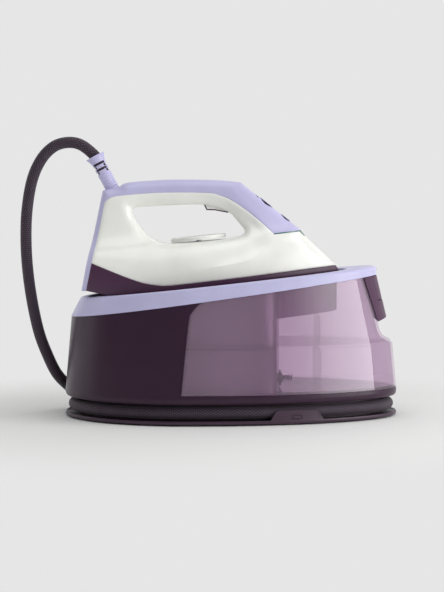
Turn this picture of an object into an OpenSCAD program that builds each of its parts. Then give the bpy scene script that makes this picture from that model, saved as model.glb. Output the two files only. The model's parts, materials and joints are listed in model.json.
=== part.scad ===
// Steam generator iron: a station with a boiler and a lift-off water tank, and an iron on a hose.
// +X points to the nose, +Z is up, and the origin is on the table under the middle of the station.

/* [Station] */
// Length of the housing at its foot
station_l = 348; // [342:1:352]
// Width of the housing at its foot
station_w = 210; // [204:1:214]
// Share of the length that lies behind the widest place
rear_share = 0.377; // [0.37:0.001:0.385]
// Height of the housing's lower edge above the table
base_z = 21.5; // [21:0.5:23]
// Height of the strip that the tank stands on
strip_top = 30; // [29:0.5:31]
// Height of the rim's lower edge over the origin
rim_low_z = 126.9; // [126:0.1:127.5]
// Rise of the rim's lower edge towards the nose, per unit of length
rim_low_slope = 0.1365; // [0.134:0.0005:0.138]
// Height of the platform's top edge over the origin
platform_z = 141; // [140.5:0.5:142]
// Wall of the housing
wall = 2.8; // [2.4:0.1:3]
// Running gap between neighbouring shells
gap = 0.4; // [0.3:0.05:0.5]

/* [Platform] */
// Tilt of the platform, nose up, in degrees
platform_tilt = 6.1; // [6:0.1:6.3]
// Depth of the soleplate's rest plane below the rim's top
sole_drop = 5.97; // [5.8:0.01:6.2]
// Width of the rim at its top
rim_w = 7.5; // [7:0.5:8]

/* [Water tank] */
// Height of the welded seam between the tank's halves
seam_z = 76; // [74:0.5:77]
// Wall of the tank
tank_wall = 2.2; // [1.8:0.1:2.5]
// Half of the grip's width
grip_half = 35; // [33:1:37]
// Travel of the release button
release_travel = 3; // [2.5:0.1:3.2]

/* [Hose] */
// Outer radius of the braided steam hose
hose_r = 6; // [5.6:0.1:6.1]

/* [Iron] */
// Length of the iron from its heel to its nose
iron_l = 269.8; // [268:0.2:271]
// Half of the soleplate's width
sole_half = 57; // [55:0.5:58]
// Wall of the iron's shells
iron_wall = 2.4; // [2:0.1:2.6]
// Radius of the temperature dial
dial_r = 29; // [27:0.5:29.5]
// Radius of the pin that the trigger turns on
pin_r = 1.5; // [1.4:0.05:1.6]

/* [Hidden] */

$fn = 48;
eps = 0.01;
turn = 360;

// Points round each lofted outline
ring_n = 64;
// Height at which the foot's full length and width are taken
foot_z = 28;
// Draft of the housing's walls, per unit of height
rear_draft = 0.088;
nose_draft = 0.09;
upper_nose_draft = 0.235;
side_draft = 0.134;
// Radius of the housing's lower edge
foot_round = 6;
egg_cx = -station_l / 2 + rear_share * station_l;
platform_rise = tan(platform_tilt);

// Colours
dark = "#352030";
plum = "#432a43";
lilac = "#c4bfe0";
white = "#ecece6";
mauve = "#a58aa3";
grip_plum = "#5b3f5b";
hose_plum = "#46303f";
steel = "#b9bcc0";
alu = "#a6a8ab";
brass = "#b5954c";
rubber = "#2a2a2c";
board_green = "#2f6b45";
grey = "#6f6f75";

// --- curves ---

// A point between p1 and p2 on the smooth curve through four points
function blend4(p0, p1, p2, p3, u) =
    0.5 * (2 * p1 + (p2 - p0) * u + (2 * p0 - 5 * p1 + 4 * p2 - p3) * u * u
        + (3 * p1 - p0 - 3 * p2 + p3) * u * u * u);

// The smooth curve through a list of points, with k steps between neighbours
function smooth(p, k) =
    let (last = len(p) - 1)
    [for (i = [0 : last - 1]) for (j = [0 : k - 1])
        blend4(p[max(i - 1, 0)], p[i], p[i + 1], p[min(i + 2, last)], j / k), p[last]];

// The same for a closed outline
function smooth_loop(p, k) =
    let (n = len(p))
    [for (i = [0 : n - 1]) for (j = [0 : k - 1])
        blend4(p[(i + n - 1) % n], p[i], p[(i + 1) % n], p[(i + 2) % n], j / k)];

function unit(v) = v / norm(v);
function flip(list) = [for (i = [len(list) - 1 : -1 : 0]) list[i]];

// --- solids from rings of points ---

function side_faces(rows, n) =
    [for (r = [0 : rows - 2]) for (i = [0 : n - 1])
        let (a = r * n + i, b = r * n + (i + 1) % n)
        each [[a, a + n, b], [b, a + n, b + n]]];

// A closed solid through rings that run from the bottom to the top
module loft(rings) {
    n = len(rings[0]);
    rows = len(rings);
    first = [for (i = [0 : n - 1]) i];
    last = [for (i = [n - 1 : -1 : 0]) (rows - 1) * n + i];
    polyhedron([for (r = rings) each r], concat([first], side_faces(rows, n), [last]));
}

// A closed band: rings run up the outside and down the inside, and the last meets the first
module band(rings) {
    n = len(rings[0]);
    rows = len(rings);
    closing = [for (i = [0 : n - 1])
        let (a = (rows - 1) * n + i, b = (rows - 1) * n + (i + 1) % n)
        each [[a, i, b], [b, i, (i + 1) % n]]];
    polyhedron([for (r = rings) each r], concat(side_faces(rows, n), closing));
}

// A round rod of radius r along a path, with k sides
module rod(path, r, k) {
    last = len(path) - 1;
    dirs = [for (i = [0 : last]) unit(path[min(i + 1, last)] - path[max(i - 1, 0)])];
    start = unit(cross(dirs[0], abs(dirs[0][2]) > 0.9 ? [1, 0, 0] : [0, 0, 1]));
    // each normal is the one before it, turned to stand square on the path
    normals = [for (i = 0, v = start; i <= last;
        i = i + 1, v = i > last ? v : unit(v - dirs[i] * (v * dirs[i]))) v];
    loft([for (i = [0 : last])
        let (u = normals[i], w = cross(dirs[i], u))
        [for (j = [0 : k - 1]) let (a = turn * j / k) path[i] + r * (cos(a) * u + sin(a) * w)]]);
}

// A bent tube through a few places
module tube(points, r) {
    rod(smooth(points, 4), r, 10);
}

// A compression spring that stands on z = 0
module coil(r, wire, height, turns) {
    steps = 14;
    rise = height - 2 * wire;
    rod([for (i = [0 : turns * steps])
        let (a = turn * i / steps)
        [r * cos(a), r * sin(a), wire + rise * i / (turns * steps)]], wire, 6);
}

// A prism of a side outline drawn in X and Z, as wide as 2 * half
module across(half) {
    rotate([90, 0, 0]) linear_extrude(2 * half, center = true) children();
}

// A prism of a front outline drawn in Y and Z, from x0 to x1
module along(x0, x1) {
    translate([x0, 0, 0]) rotate([90, 0, 90]) linear_extrude(x1 - x0) children();
}

module rounded_rect(w, h, r) {
    hull()
        for (x = [-1, 1], y = [-1, 1])
            translate([x * (w / 2 - r), y * (h / 2 - r)]) circle(r, $fn = 32);
}

// --- the station's egg outline ---

function rear_a(z) = rear_share * station_l - rear_draft * (z - foot_z);
function nose_a(z) = (1 - rear_share) * station_l - nose_draft * (min(z, seam_z) - foot_z)
    - upper_nose_draft * max(z - seam_z, 0);
function side_b(z) = station_w / 2 - side_draft * (z - foot_z);

function egg_x(t, z, g) = egg_cx + ((cos(t) < 0 ? rear_a(z) : nose_a(z)) - g) * cos(t);
function egg_y(t, z, g) = (side_b(z) - g) * sin(t);

// Outline on the plane z = z0 + slope * x, drawn in by g
function egg_ring(z0, slope, g) =
    [for (i = [0 : ring_n - 1])
        let (t = turn * i / ring_n,
            z1 = z0 + slope * egg_x(t, z0, g),
            x = egg_x(t, z1, g))
        [x, egg_y(t, z1, g), z0 + slope * x]];

// Plain outline with its own half axes, on the same kind of plane
function plain_ring(rear, front, half, z0, slope) =
    [for (i = [0 : ring_n - 1])
        let (t = turn * i / ring_n, x = egg_cx + (cos(t) < 0 ? rear : front) * cos(t))
        [x, half * sin(t), z0 + slope * x]];

// Solid body of the station between two heights, drawn in by g
module egg_body(z0, z1, slope1, g) {
    loft([egg_ring(z0, 0, g), egg_ring(z1, slope1, g)]);
}

// Side outline of what lies behind the tank, with its rounded upper corner
tank_rear_low = [-50.3, strip_top];
tank_rear_high = [-43.2, 100.9];
tank_rear_top = [-30.5, 122];
module behind_tank(g) {
    across(station_w)
        polygon(concat(
            [[-station_l, 0], [tank_rear_low[0] - g, 0]],
            smooth([tank_rear_low - [g, 0], tank_rear_high - [g, 0], [-39.5 - g, 113],
                tank_rear_top - [g, 0], [-16 - g, 126.5]], 4),
            [[-16 - g, 200], [-station_l, 200]]));
}

// --- the core that stands between the tank's arms ---

core_front = 46;
core_half = 62;
core_round = 18;
module core_plan(g) {
    translate([core_front / 2 - 60, 0])
        rounded_rect(core_front + 120 + 2 * g, 2 * (core_half + g), core_round + g);
}

// --- tray and foot ---

tray_low = 1.5;
tray_top = 4;
lip_top = 5.2;
lip_w = 2.4;
hose_z = 12.6;
hose_inset = 9.2;
foot_inset = hose_inset + hose_r + 0.8;
clip_x = 66;
clip_wide = 58;
clip_narrow = 44;
clip_top = 15;
screw_spots = [[-120, 40], [-120, -40], [70, 38], [70, -38]];

function foot_ring(z, g) =
    plain_ring(rear_a(foot_z) - g, nose_a(foot_z) - g, side_b(foot_z) - g, z, 0);

module clip_outline() {
    translate([clip_x, tray_low])
        hull() {
            translate([-clip_wide / 2, 0]) square([clip_wide, 1]);
            for (s = [-1, 1])
                translate([s * (clip_narrow / 2 - 4), clip_top - tray_low - 4]) circle(4, $fn = 32);
        }
}

module hose_tray() {
    color(dark)
        difference() {
            union() {
                loft([foot_ring(tray_low, 1.2), foot_ring(tray_low + 1.2, 0), foot_ring(lip_top, 0),
                    foot_ring(lip_top, lip_w), foot_ring(tray_top, lip_w), foot_ring(tray_top, foot_inset),
                    foot_ring(base_z, foot_inset), foot_ring(base_z, foot_inset + wall),
                    foot_ring(tray_top, foot_inset + wall)]);
                // the clip follows the rim of the tray on the near side
                intersection() {
                    loft([foot_ring(tray_low, 0), foot_ring(clip_top + 1, 0), foot_ring(clip_top + 1, lip_w),
                        foot_ring(tray_top, lip_w)]);
                    translate([0, -station_w / 2, 0]) across(station_w / 2) clip_outline();
                }
            }
            for (p = screw_spots)
                translate([p[0], p[1], 0]) cylinder(h = tray_top + 1, r = 2.2);
            // the hose's end passes through the foot's wall
            translate(hose_end) rotate([0, 90, hose_end_turn]) cylinder(h = 30, r = hose_r + 1.8);
            for (p = feet_spots)
                translate([p[0], p[1], 0]) cylinder(h = tray_low + 0.8, r = 10.2);
        }
}

feet_spots = [[-135, 42], [-135, -42], [105, 48], [105, -48]];
module rubber_feet() {
    color(rubber)
        for (p = feet_spots)
            translate([p[0], p[1], 0]) {
                cylinder(h = 1, r1 = 9.2, r2 = 10);
                translate([0, 0, 1]) cylinder(h = tray_low + 0.8 - 1, r = 10);
            }
}

module tray_screws() {
    color(steel)
        for (p = screw_spots)
            translate([p[0], p[1], tray_low - 0.4]) {
                cylinder(h = 0.4, r = 3.6);
                cylinder(h = 16, r = 1.9);
            }
}

// --- housing ---

module station_housing() {
    color(dark)
        difference() {
            loft([egg_ring(base_z, 0, foot_round * 0.6),
                egg_ring(base_z + foot_round * 0.3, 0, foot_round * 0.17),
                egg_ring(base_z + foot_round, 0, 0), egg_ring(rim_low_z - gap, rim_low_slope, 0)]);
            // the hollow
            egg_body(base_z + wall, rim_low_z + 5, rim_low_slope, wall);
            // everything over the strip that the tank stands on
            difference() {
                translate([-station_l, -station_w, strip_top])
                    cube([2 * station_l, 2 * station_w, station_w]);
                behind_tank(0);
            }
            // window of the cord bay, on the far side
            translate([bay_x, 60, bay_z]) rotate([-90, 0, 0]) linear_extrude(60)
                rounded_rect(bay_l, bay_h, bay_round);
            translate(knob_place) rotate([0, 90, knob_turn]) cylinder(h = 20, r = 8.4, center = true);
            for (p = screw_spots)
                translate([p[0], p[1], base_z - 1]) cylinder(h = wall + 2, r = 2.2);
            translate([steam_drop[0], steam_drop[1], base_z - 1]) cylinder(h = wall + 2, r = steam_pass);
        }
}

// The casing under the deck reaches forward over the tank, with its floor parallel to the platform
casing_z = 98.5;
casing_rear = 60;
casing_nose = 154;
casing_half = 56;
module casing(z, g, top) {
    loft([plain_ring(casing_rear + g, casing_nose + g, casing_half + g, z - g, platform_rise),
        plain_ring(casing_rear + g, casing_nose + g, casing_half + g, top, rim_low_slope)]);
}

module core_cover() {
    skin = 2;
    color(dark)
        difference() {
            intersection() {
                union() {
                    linear_extrude(station_l) core_plan(0);
                    casing(casing_z, 0, station_w);
                }
                egg_body(base_z + wall + gap, rim_low_z - gap, rim_low_slope, wall + gap);
                difference() {
                    translate([-station_l, -station_w, 0]) cube([2 * station_l, 2 * station_w, station_w]);
                    behind_tank(gap);
                }
            }
            translate([0, 0, -1]) linear_extrude(station_l) core_plan(-skin);
            casing(casing_z, -skin, station_w + 1);
            translate([core_front - 10, outlet_y, outlet_z]) rotate([0, 90, 0]) cylinder(h = 20, r = 8);
        }
}

// --- rim, deck and pads of the platform ---

rim_rear = 114.9;
rim_nose = 193;
rim_half = 88.2;
deck_nose = 164;
module platform_rim() {
    edge = 3;
    color(lilac)
        band([
            egg_ring(rim_low_z, rim_low_slope, 0),
            egg_ring(rim_low_z + 1.5, rim_low_slope, 0.2),
            plain_ring(rim_rear + 1.2, rim_nose + 2.5, rim_half + 0.6, platform_z - edge, platform_rise),
            plain_ring(rim_rear - 0.6, rim_nose - 0.6, rim_half - 0.5, platform_z - edge * 0.3,
                platform_rise),
            plain_ring(rim_rear - edge, rim_nose - edge * 1.8, rim_half - edge, platform_z, platform_rise),
            plain_ring(rim_rear - rim_w, deck_nose, rim_half - rim_w, platform_z - 0.6, platform_rise),
            plain_ring(rim_rear - rim_w, deck_nose, rim_half - rim_w, rim_low_z, rim_low_slope)
        ]);
}

deck_top = 8;
deck_thick = 2.4;
module platform_deck() {
    color(plum)
        loft([for (z = [platform_z - deck_top - deck_thick, platform_z - deck_top])
            plain_ring(rim_rear - rim_w - gap, deck_nose - gap, rim_half - rim_w - gap, z, platform_rise)]);
}

module on_platform() {
    translate([0, 0, platform_z]) rotate([0, -platform_tilt, 0]) children();
}

// Clear height of the pads over the deck
pad_lift = 0.03;
// the pads' tops carry the soleplate
module rest_pads() {
    pad_low = deck_top * cos(platform_tilt) - pad_lift;
    color(rubber)
        on_platform()
            for (x = [-88, -20, 48])
                translate([x, 0, -pad_low])
                    linear_extrude(pad_low - sole_drop)
                        difference() {
                            rounded_rect(14, x > 40 ? 56 : 84, 7);
                            rounded_rect(8, x > 40 ? 50 : 78, 4);
                        }
}

// --- boiler and its fittings ---

boiler_at = [-3, 0];
boiler_r = 38;
boiler_low = 35;
boiler_high = 92;
module boiler() {
    tall = boiler_high - boiler_low;
    skin = 1.5;
    edge = 9;
    color(steel)
        translate([boiler_at[0], boiler_at[1], boiler_low])
            rotate_extrude()
                difference() {
                    polygon([[0, 0], [boiler_r - edge, 0], [boiler_r, edge], [boiler_r, tall - edge],
                        [boiler_r - edge, tall], [0, tall]]);
                    polygon([[4, skin], [boiler_r - edge - 0.6, skin], [boiler_r - skin, edge + 0.6],
                        [boiler_r - skin, tall - edge - 0.6], [boiler_r - edge - 0.6, tall - skin],
                        [4, tall - skin]]);
                }
}

module boiler_heater() {
    tube = 3.4;
    color(grey)
        translate([boiler_at[0], boiler_at[1], boiler_low - tube]) {
            rotate_extrude(angle = 300) translate([24, 0]) circle(tube);
            for (a = [0, 300])
                rotate([0, 0, a]) translate([24, 0, 0]) rotate([a == 0 ? 90 : -90, 0, 0])
                    translate([0, 0, -1]) cylinder(h = 7, r = tube * 0.6);
        }
}

module boiler_thermostat() {
    color(grey)
        translate([boiler_at[0] + 18, boiler_at[1] - 14, boiler_high]) {
            cylinder(h = 6, r = 8);
            translate([0, 0, 6]) cylinder(h = 5, r = 5.5);
            for (s = [-1, 1])
                translate([s * 3 - 0.4, -2.5, 11]) cube([0.8, 5, 7]);
        }
}

valve_at = [boiler_at[0] - 8, 14];
module steam_valve() {
    color(brass)
        translate([valve_at[0], valve_at[1], boiler_high]) {
            cylinder(h = 8, r = 8, $fn = 6);
            translate([0, 0, 8]) cylinder(h = 12, r = 10);
            translate([0, 0, 20]) cylinder(h = 4, r = 5);
        }
}

module safety_valve() {
    color(brass)
        translate([boiler_at[0] + 8, 19, boiler_high]) {
            cylinder(h = 5, r = 6, $fn = 6);
            translate([0, 0, 5]) cylinder(h = 12, r = 4.5);
            translate([0, 0, 17]) cylinder(h = 2, r = 6);
        }
}

// --- pump and tubes ---

pump_at = [-102, -38, 62];
pump_body = 36;
pump_neck = 8;
// From the pump's middle to the end of its nozzles
pump_reach = pump_body / 2 + 28;
module water_pump() {
    color(grey)
        translate(pump_at) rotate([0, 90, 0]) {
            translate([-16, -16, -pump_body / 2]) cube([32, 32, pump_body]);
            for (s = [-1, 1])
                translate([0, 0, s * (pump_body / 2 + 9)]) cylinder(h = 18, r = pump_neck, center = true);
            for (s = [-1, 1])
                translate([0, 0, s * (pump_body / 2 + 23)]) cylinder(h = 10, r = 3.4, center = true);
        }
}

module pump_mounts() {
    color(rubber)
        for (s = [-1, 1])
            difference() {
                translate([pump_at[0] + s * 27 - 4, pump_at[1] - 13, base_z + wall])
                    cube([8, 26, pump_at[2] - base_z - wall + 12]);
                translate([pump_at[0] + s * 27 - 5, pump_at[1], pump_at[2]])
                    rotate([0, 90, 0]) cylinder(h = 10, r = pump_neck + 0.05);
            }
}

outlet_y = -34;
outlet_z = 42;
tube_r = 3.4;
module inlet_tube() {
    color("#d8d4cc")
        tube([[core_front - 8, outlet_y, outlet_z], [core_front - 13, outlet_y, outlet_z],
            [24, -50, outlet_z], [-38, -54, 44], [-44, -46, 58], pump_at + [pump_reach + 7, 0, 0],
            pump_at + [pump_reach + 1, 0, 0]], tube_r);
}

module feed_tube() {
    inlet = [boiler_at[0] - 14, boiler_at[1] - 12, boiler_high];
    color("#d8d4cc")
        tube([pump_at - [pump_reach + 1.2, 0, 0], pump_at - [pump_reach + 4, 0, 0],
            pump_at + [-pump_reach - 4, 4, 12], [-134, -22, 94], [-60, -16, 103], inlet + [-4, -1, 13],
            inlet + [0, 0, 7], inlet + [0, 0, 0.5]], 2.6);
}

steam_drop = [-130, 8];
// Radius of the steam outlet's way through the housing's floor
steam_pass = 6.5;
module steam_tube() {
    top = boiler_high + 24;
    color(steel)
        tube([[valve_at[0], valve_at[1], top + 1.4], [valve_at[0], valve_at[1], top + 4], [-22, 11, top + 7],
            [-62, 5, 108], [-112, 6, 94], [steam_drop[0], steam_drop[1], 80],
            [steam_drop[0], steam_drop[1], base_z + 1]], 3);
}

// --- hose ---

// Angle on the tray's channel where the free part of the hose leaves it, and where the wrap ends
hose_leave = 142;
hose_finish = 172;
function channel(t) =
    [egg_cx + ((cos(t) < 0 ? rear_a(foot_z) : nose_a(foot_z)) - hose_inset) * cos(t),
        (side_b(foot_z) - hose_inset) * sin(t), hose_z];
hose_end = [-141, 9, hose_z];
hose_end_turn = 180 - 11;

// Places along the bend guard: its foot on the iron and its open end
guard_foot = [-124.5, 0, 237.6];
guard_end = [-142.2, 0, 271];
guard_dir = unit(guard_end - guard_foot);

// The free loop, from the bend guard down to the tray
hose_loop = [guard_foot + 3 * guard_dir, guard_foot + 15 * guard_dir, guard_foot + 27 * guard_dir, guard_end,
    [-156.5, 0, 282.6], [-170.5, 0, 285.4], [-185.5, 0, 281], [-198.7, 0, 267.6], [-208.5, 1, 246],
    [-214.1, 2, 215.1], [-215.5, 3, 184.2], [-214.1, 4, 153.2], [-209.9, 6, 119.5], [-203.2, 10, 85.7],
    [-194.8, 17, 60.4], [-186.4, 26, 40.7], [-176, 37, 27], [-163.5, 46, 16.5], [-151.5, 54.5, 12.9]];
// The wrap round the foot, from the far side past the nose and back round the rear
hose_wrap = [for (t = [hose_leave - 6 : -6 : hose_finish - 360]) channel(t)];
hose_tail = [[-158.5, 13.5, hose_z], [-150, 11.5, hose_z], hose_end];

module steam_hose() {
    color(hose_plum)
        rod(concat(smooth(hose_loop, 3), hose_wrap, hose_tail), hose_r, 12);
}

module hose_outlet() {
    color(grey)
        translate([steam_drop[0], steam_drop[1], tray_top + 0.2])
            difference() {
                translate([-8, -9, 0]) cube([22, 18, base_z - tray_top - 0.6]);
                translate([0, 0, 8]) cylinder(h = 20, r = 3.4);
            }
}

// --- electrics ---

module control_board() {
    color(board_green)
        translate([-140, 22, 58]) {
            cube([74, 1.6, 44]);
            for (p = [[8, 8, 12, 14], [30, 6, 20, 16], [56, 12, 12, 20]])
                translate([p[0], -9, p[1]]) cube([p[2], 9, p[3]]);
            translate([26, 0.5, 34]) rotate([90, 0, 0]) cylinder(h = 9, r = 4);
        }
}

bay_x = -96;
bay_z = 76;
bay_l = 68;
bay_h = 50;
bay_round = 8;
bay_deep = 40;
module cord_bay() {
    color(dark)
        intersection() {
            translate([bay_x, bay_deep, bay_z]) rotate([-90, 0, 0])
                difference() {
                    linear_extrude(60) rounded_rect(bay_l - 2 * gap, bay_h - 2 * gap, bay_round - gap);
                    translate([0, 0, 2])
                        linear_extrude(60) rounded_rect(bay_l - 4, bay_h - 4, bay_round - 2);
                    translate([-22, 0, -1]) cylinder(h = 5, r = 5.3);
                }
            egg_body(base_z + wall, rim_low_z, rim_low_slope, 0.3);
        }
}

// The cord lies in the bay as a flat coil of long loops
cord_r = 3;
cord_pitch = 6.2;
cord_turns = 3;
function long_loop(u) =
    let (half = 9, r = 3 + cord_pitch * u, a = turn * u)
    [bay_x + (cos(a) >= 0 ? half : -half) + r * cos(a), bay_deep + 6, bay_z + r * sin(a) * 0.92];
module mains_cord() {
    steps = 16;
    color(rubber)
        rod([for (i = [0 : steps * cord_turns - 6]) long_loop(i / steps)], cord_r, 8);
}

plug_r = 16;
plug_at = [bay_x + 14, bay_deep + 9.4 + plug_r, bay_z];
module mains_plug() {
    pin_pitch = 19;
    color(rubber)
        translate(plug_at) rotate([0, -90, 0]) {
            cylinder(h = 26, r = plug_r);
            translate([0, 0, -8]) cylinder(h = 9, r = 8);
            for (s = [-1, 1])
                translate([s * pin_pitch / 2, 0, 26]) cylinder(h = 19, r = 2.4);
        }
}

module cord_bush() {
    color(rubber)
        translate([bay_x - 22, bay_deep - 6, bay_z]) rotate([-90, 0, 0])
            difference() {
                union() {
                    cylinder(h = 5.9, r = 8);
                    cylinder(h = 8.6, r = 5.2);
                }
                translate([0, 0, -1]) cylinder(h = 12, r = cord_r + 0.1);
            }
}

// --- descaling ---

knob_angle = 150;
knob_z = 50;
knob_r = 13;
knob_place = [egg_x(knob_angle, knob_z, 0), egg_y(knob_angle, knob_z, 0), knob_z];
knob_turn = atan2(sin(knob_angle) / side_b(knob_z), cos(knob_angle) / rear_a(knob_z));
module descaling_knob() {
    color(plum)
        translate(knob_place) rotate([0, 90, knob_turn]) {
            translate([0, 0, 1.2]) cylinder(h = 5, r = knob_r);
            translate([-2.5, -knob_r + 1, 6.2]) cube([5, 2 * knob_r - 2, 5]);
            translate([0, 0, -10]) cylinder(h = 11.2, r = 7.5);
        }
}

module drain_pipe() {
    inner = knob_place - 14.5 * [cos(knob_turn), sin(knob_turn), 0];
    color(brass)
        tube([inner, inner - 6 * [cos(knob_turn), sin(knob_turn), 0], [-70, 16, 44], [-50, 6, 46],
            [boiler_at[0] - boiler_r - 1, 5, 46]], 3);
}

// --- water tank ---

seat = 0.6;
ledge = 1.5;
tank_low = strip_top + seat;
// Side outline of the finger recess under the grip, grown by g into the tank
module recess_outline(g) {
    translate([-g, -g])
        polygon(concat([[station_l, 78.6]], smooth([[170, 78.7], [160, 82.9], [154, 90.5], [151.5, 99.8]], 3),
            [[136, 146], [station_l, 190]]));
}

// The tank's form drawn in by g, cut from the station's body given as its child
module tank_form(g) {
    difference() {
        children();
        behind_tank(-g - gap);
        translate([0, 0, -1]) linear_extrude(station_l) core_plan(1 + g);
        across(grip_half + 1 + g) recess_outline(g);
    }
}

module tank_lower() {
    color(mauve, 0.55)
        difference() {
            tank_form(0) egg_body(tank_low, seam_z, 0, 0);
            tank_form(tank_wall) egg_body(tank_low + tank_wall, seam_z + 1, 0, tank_wall);
            translate([core_front, outlet_y, outlet_z]) rotate([0, 90, 0]) cylinder(h = 8, r = 5.1);
        }
}

module tank_upper() {
    color(mauve, 0.55)
        difference() {
            tank_form(0) egg_body(seam_z + 0.2, rim_low_z - gap, rim_low_slope, ledge);
            tank_form(tank_wall)
                egg_body(seam_z + 0.2 + tank_wall, rim_low_z + gap, rim_low_slope, ledge + tank_wall);
            casing(casing_z, 1, station_w);
            // the filler
            translate([filler[0], filler[1], seam_z - 1]) cylinder(h = tank_wall + 2, r = 15);
        }
}

filler = [66, 66];
module tank_baffle() {
    color(mauve, 0.5) {
        translate([89.6, -66, tank_low + tank_wall + 1]) cube([1.6, 132, 38]);
        translate([89.6, -46, seam_z + tank_wall + 1]) cube([1.6, 92, 26]);
    }
}

button_z = 121.5;
button_half = 22;
button_thick = 4;
spring_room = 3;
// Depth of the button's pocket: its own thickness, its travel and the pressed spring
pocket = button_thick + release_travel + spring_room;
// The skin of the station between two depths, over the whole height
module nose_skin(g0, g1, top) {
    difference() {
        egg_body(seam_z + 1, rim_low_z - top, rim_low_slope, g0);
        egg_body(seam_z, rim_low_z + 1, rim_low_slope, g1);
    }
}

module tank_grip() {
    color(grip_plum)
        difference() {
            intersection() {
                egg_body(seam_z + 1, rim_low_z - gap, rim_low_slope, 0);
                across(grip_half)
                    polygon([[152.2, 99.8], [168, 105], [168, 160], [136.9, 160], [136.9, 146]]);
            }
            intersection() {
                nose_skin(-2, pocket, -4);
                translate([0, -button_half, button_z]) cube([station_l, 2 * button_half, 60]);
            }
        }
}

module release_button() {
    color(grip_plum)
        intersection() {
            nose_skin(0.2, button_thick, 1);
            translate([0, -button_half + gap, button_z + gap]) cube([station_l, 2 * (button_half - gap), 60]);
        }
}

spring_z = 132;
module release_spring() {
    back = egg_cx + nose_a(spring_z) - pocket;
    color(steel)
        translate([back + 1.3, 0, spring_z]) rotate([0, 90, 0])
            coil(3.2, 0.4, pocket - button_thick - 2.6, 3);
}

module tank_valve() {
    wall_x = core_front + 1;
    color(grey)
        translate([wall_x - 6, outlet_y, outlet_z]) rotate([0, 90, 0]) {
            cylinder(h = 12, r = 5);
            translate([0, 0, 6 + tank_wall + gap]) cylinder(h = 1.6, r = 8);
            cylinder(h = 22, r = 1.2);
            translate([0, 0, 21]) cylinder(h = 1, r = 3.6);
        }
}

module tank_valve_spring() {
    color(steel)
        translate([core_front + 7.2, outlet_y, outlet_z]) rotate([0, 90, 0]) coil(2.6, 0.4, 8.4, 5);
}

module tank_seal() {
    color(rubber)
        translate([core_front - 2.6, outlet_y, outlet_z]) rotate([0, 90, 0])
            difference() {
                cylinder(h = 3.4, r = 7.95);
                translate([0, 0, -1]) cylinder(h = 6, r = 5.05);
            }
}

// --- the iron, in its own frame: x from the heel along the soleplate, z square to it ---

iron_x = -155.2;
module on_iron() {
    on_platform() translate([iron_x, 0, -sole_drop]) children();
}

heel_foot = [0, 12.8];
heel_top = [31.9, 113.5];
heel_lean = atan2(heel_top[0] - heel_foot[0], heel_top[1] - heel_foot[1]);
slope_top = [175.6, 107.2];
slope_foot = [232, 52.5];
slope_turn = atan2(slope_top[1] - slope_foot[1], slope_foot[0] - slope_top[0]);
top_line = smooth([heel_top, [36, 114.7], [48, 115.4], [58, 119.2], [84, 118.7], [108.8, 117.2],
    [150.6, 112.1], slope_top], 3);
// Lower edge of the lilac cover, from the heel to the front
cover_edge = concat([[6, 12.8], [14.4, 39.3]], smooth([[32.4, 98.8], [35.1, 102.9], [42, 105.8],
    [59.6, 106.4], [96, 104.7], [139.3, 99.8], [153.5, 95.4], [167.3, 87.3], [187.3, 69.1],
    [203.7, 51.2]], 3));
skirt_edge = smooth([[15.4, 40.3], [59.2, 17.8], [81.4, 10.7], [92, 9.6], [225.9, 10.4], [266, 10.4]], 3);
sole_back = 36;
skirt_low = 4;
skirt_heel = [6.6, 12.6];

module cover_outline() {
    polygon(concat([heel_foot], top_line, [slope_foot, [233, 50.9], [204.3, 50.8]], flip(cover_edge)));
}

module skirt_outline() {
    polygon(concat([skirt_heel, [14.9, 39]], skirt_edge, [[iron_l, skirt_low], [sole_back, skirt_low]]));
}

module light_outline() {
    polygon([[204.6, 50.4], [233.3, 50.5], [237.4, 44.4], [235.6, 44.2], [230.3, 49.2], [204.9, 49.1]]);
}

module whole_outline() {
    polygon(concat([heel_foot], top_line, [slope_foot, [237.5, 44.3], [266, 10.4], [iron_l, skirt_low],
        [sole_back, skirt_low], skirt_heel]));
}

module opening_outline() {
    polygon(smooth_loop([[60.1, 88.4], [64.3, 92.4], [85, 91.6], [107, 90.4], [136.3, 87.4], [160.3, 76.2],
        [172.1, 61.7], [174.8, 56.2], [171, 52], [154.6, 50.2], [125, 50.6], [95.5, 51.8], [83.9, 54.8],
        [73, 63.4], [64.5, 76]], 3));
}

// Place of the iron's greatest width
widest_x = 94.8;
// Half of the iron's width at height z, shared by all its shells
section = smooth([[57, -5], [57, 8], [55.5, 20], [50, 34], [40, 48], [28, 58], [20.5, 70], [18.5, 85],
    [17.5, 100], [16.5, 112], [11, 119.6], [0, 121.5]], 2);
heel_plan = smooth([[0, 29], [3, 38], [12, 45], [35, 51.5], [60, 55.5], [widest_x, sole_half]], 2);
// The nose's sides are two arcs that meet in a point
function nose_half(x, g) =
    let (l = iron_l - g * 1.6 - widest_x, w = sole_half - g, r = (l * l + w * w) / (2 * w))
    sqrt(max(r * r - (x - widest_x) * (x - widest_x), 0)) - (r - w);
function nose_side(g) =
    let (n = 14, l = iron_l - g * 1.6 - widest_x)
    [for (i = [0 : n]) let (x = widest_x + l * i / n) [x, max(nose_half(x, g), 0)]];

module plan_outline(g) {
    side = concat([for (p = heel_plan) [max(p[0], g), p[1] - g]], [for (i = [1 : 14]) nose_side(g)[i]]);
    polygon(concat(side, [for (p = flip(side)) if (p[1] > eps) [p[0], -p[1]]]));
}

// Height above which the section is the iron's crown
crown_from = 110;
// Height of a point of the section, drawn down by g where it is the crown
function drawn_z(p, g) = p[1] - (p[1] > crown_from ? g : 0);

// The iron's outer form drawn in by g
module iron_form(g) {
    intersection() {
        along(0, iron_l)
            polygon(concat([for (p = section) [max(p[0] - g, 0), drawn_z(p, g)]],
                [for (p = flip(section)) if (p[0] - g > eps) [g - p[0], drawn_z(p, g)]]));
        translate([0, 0, -10]) linear_extrude(140) plan_outline(g);
    }
}

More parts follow.
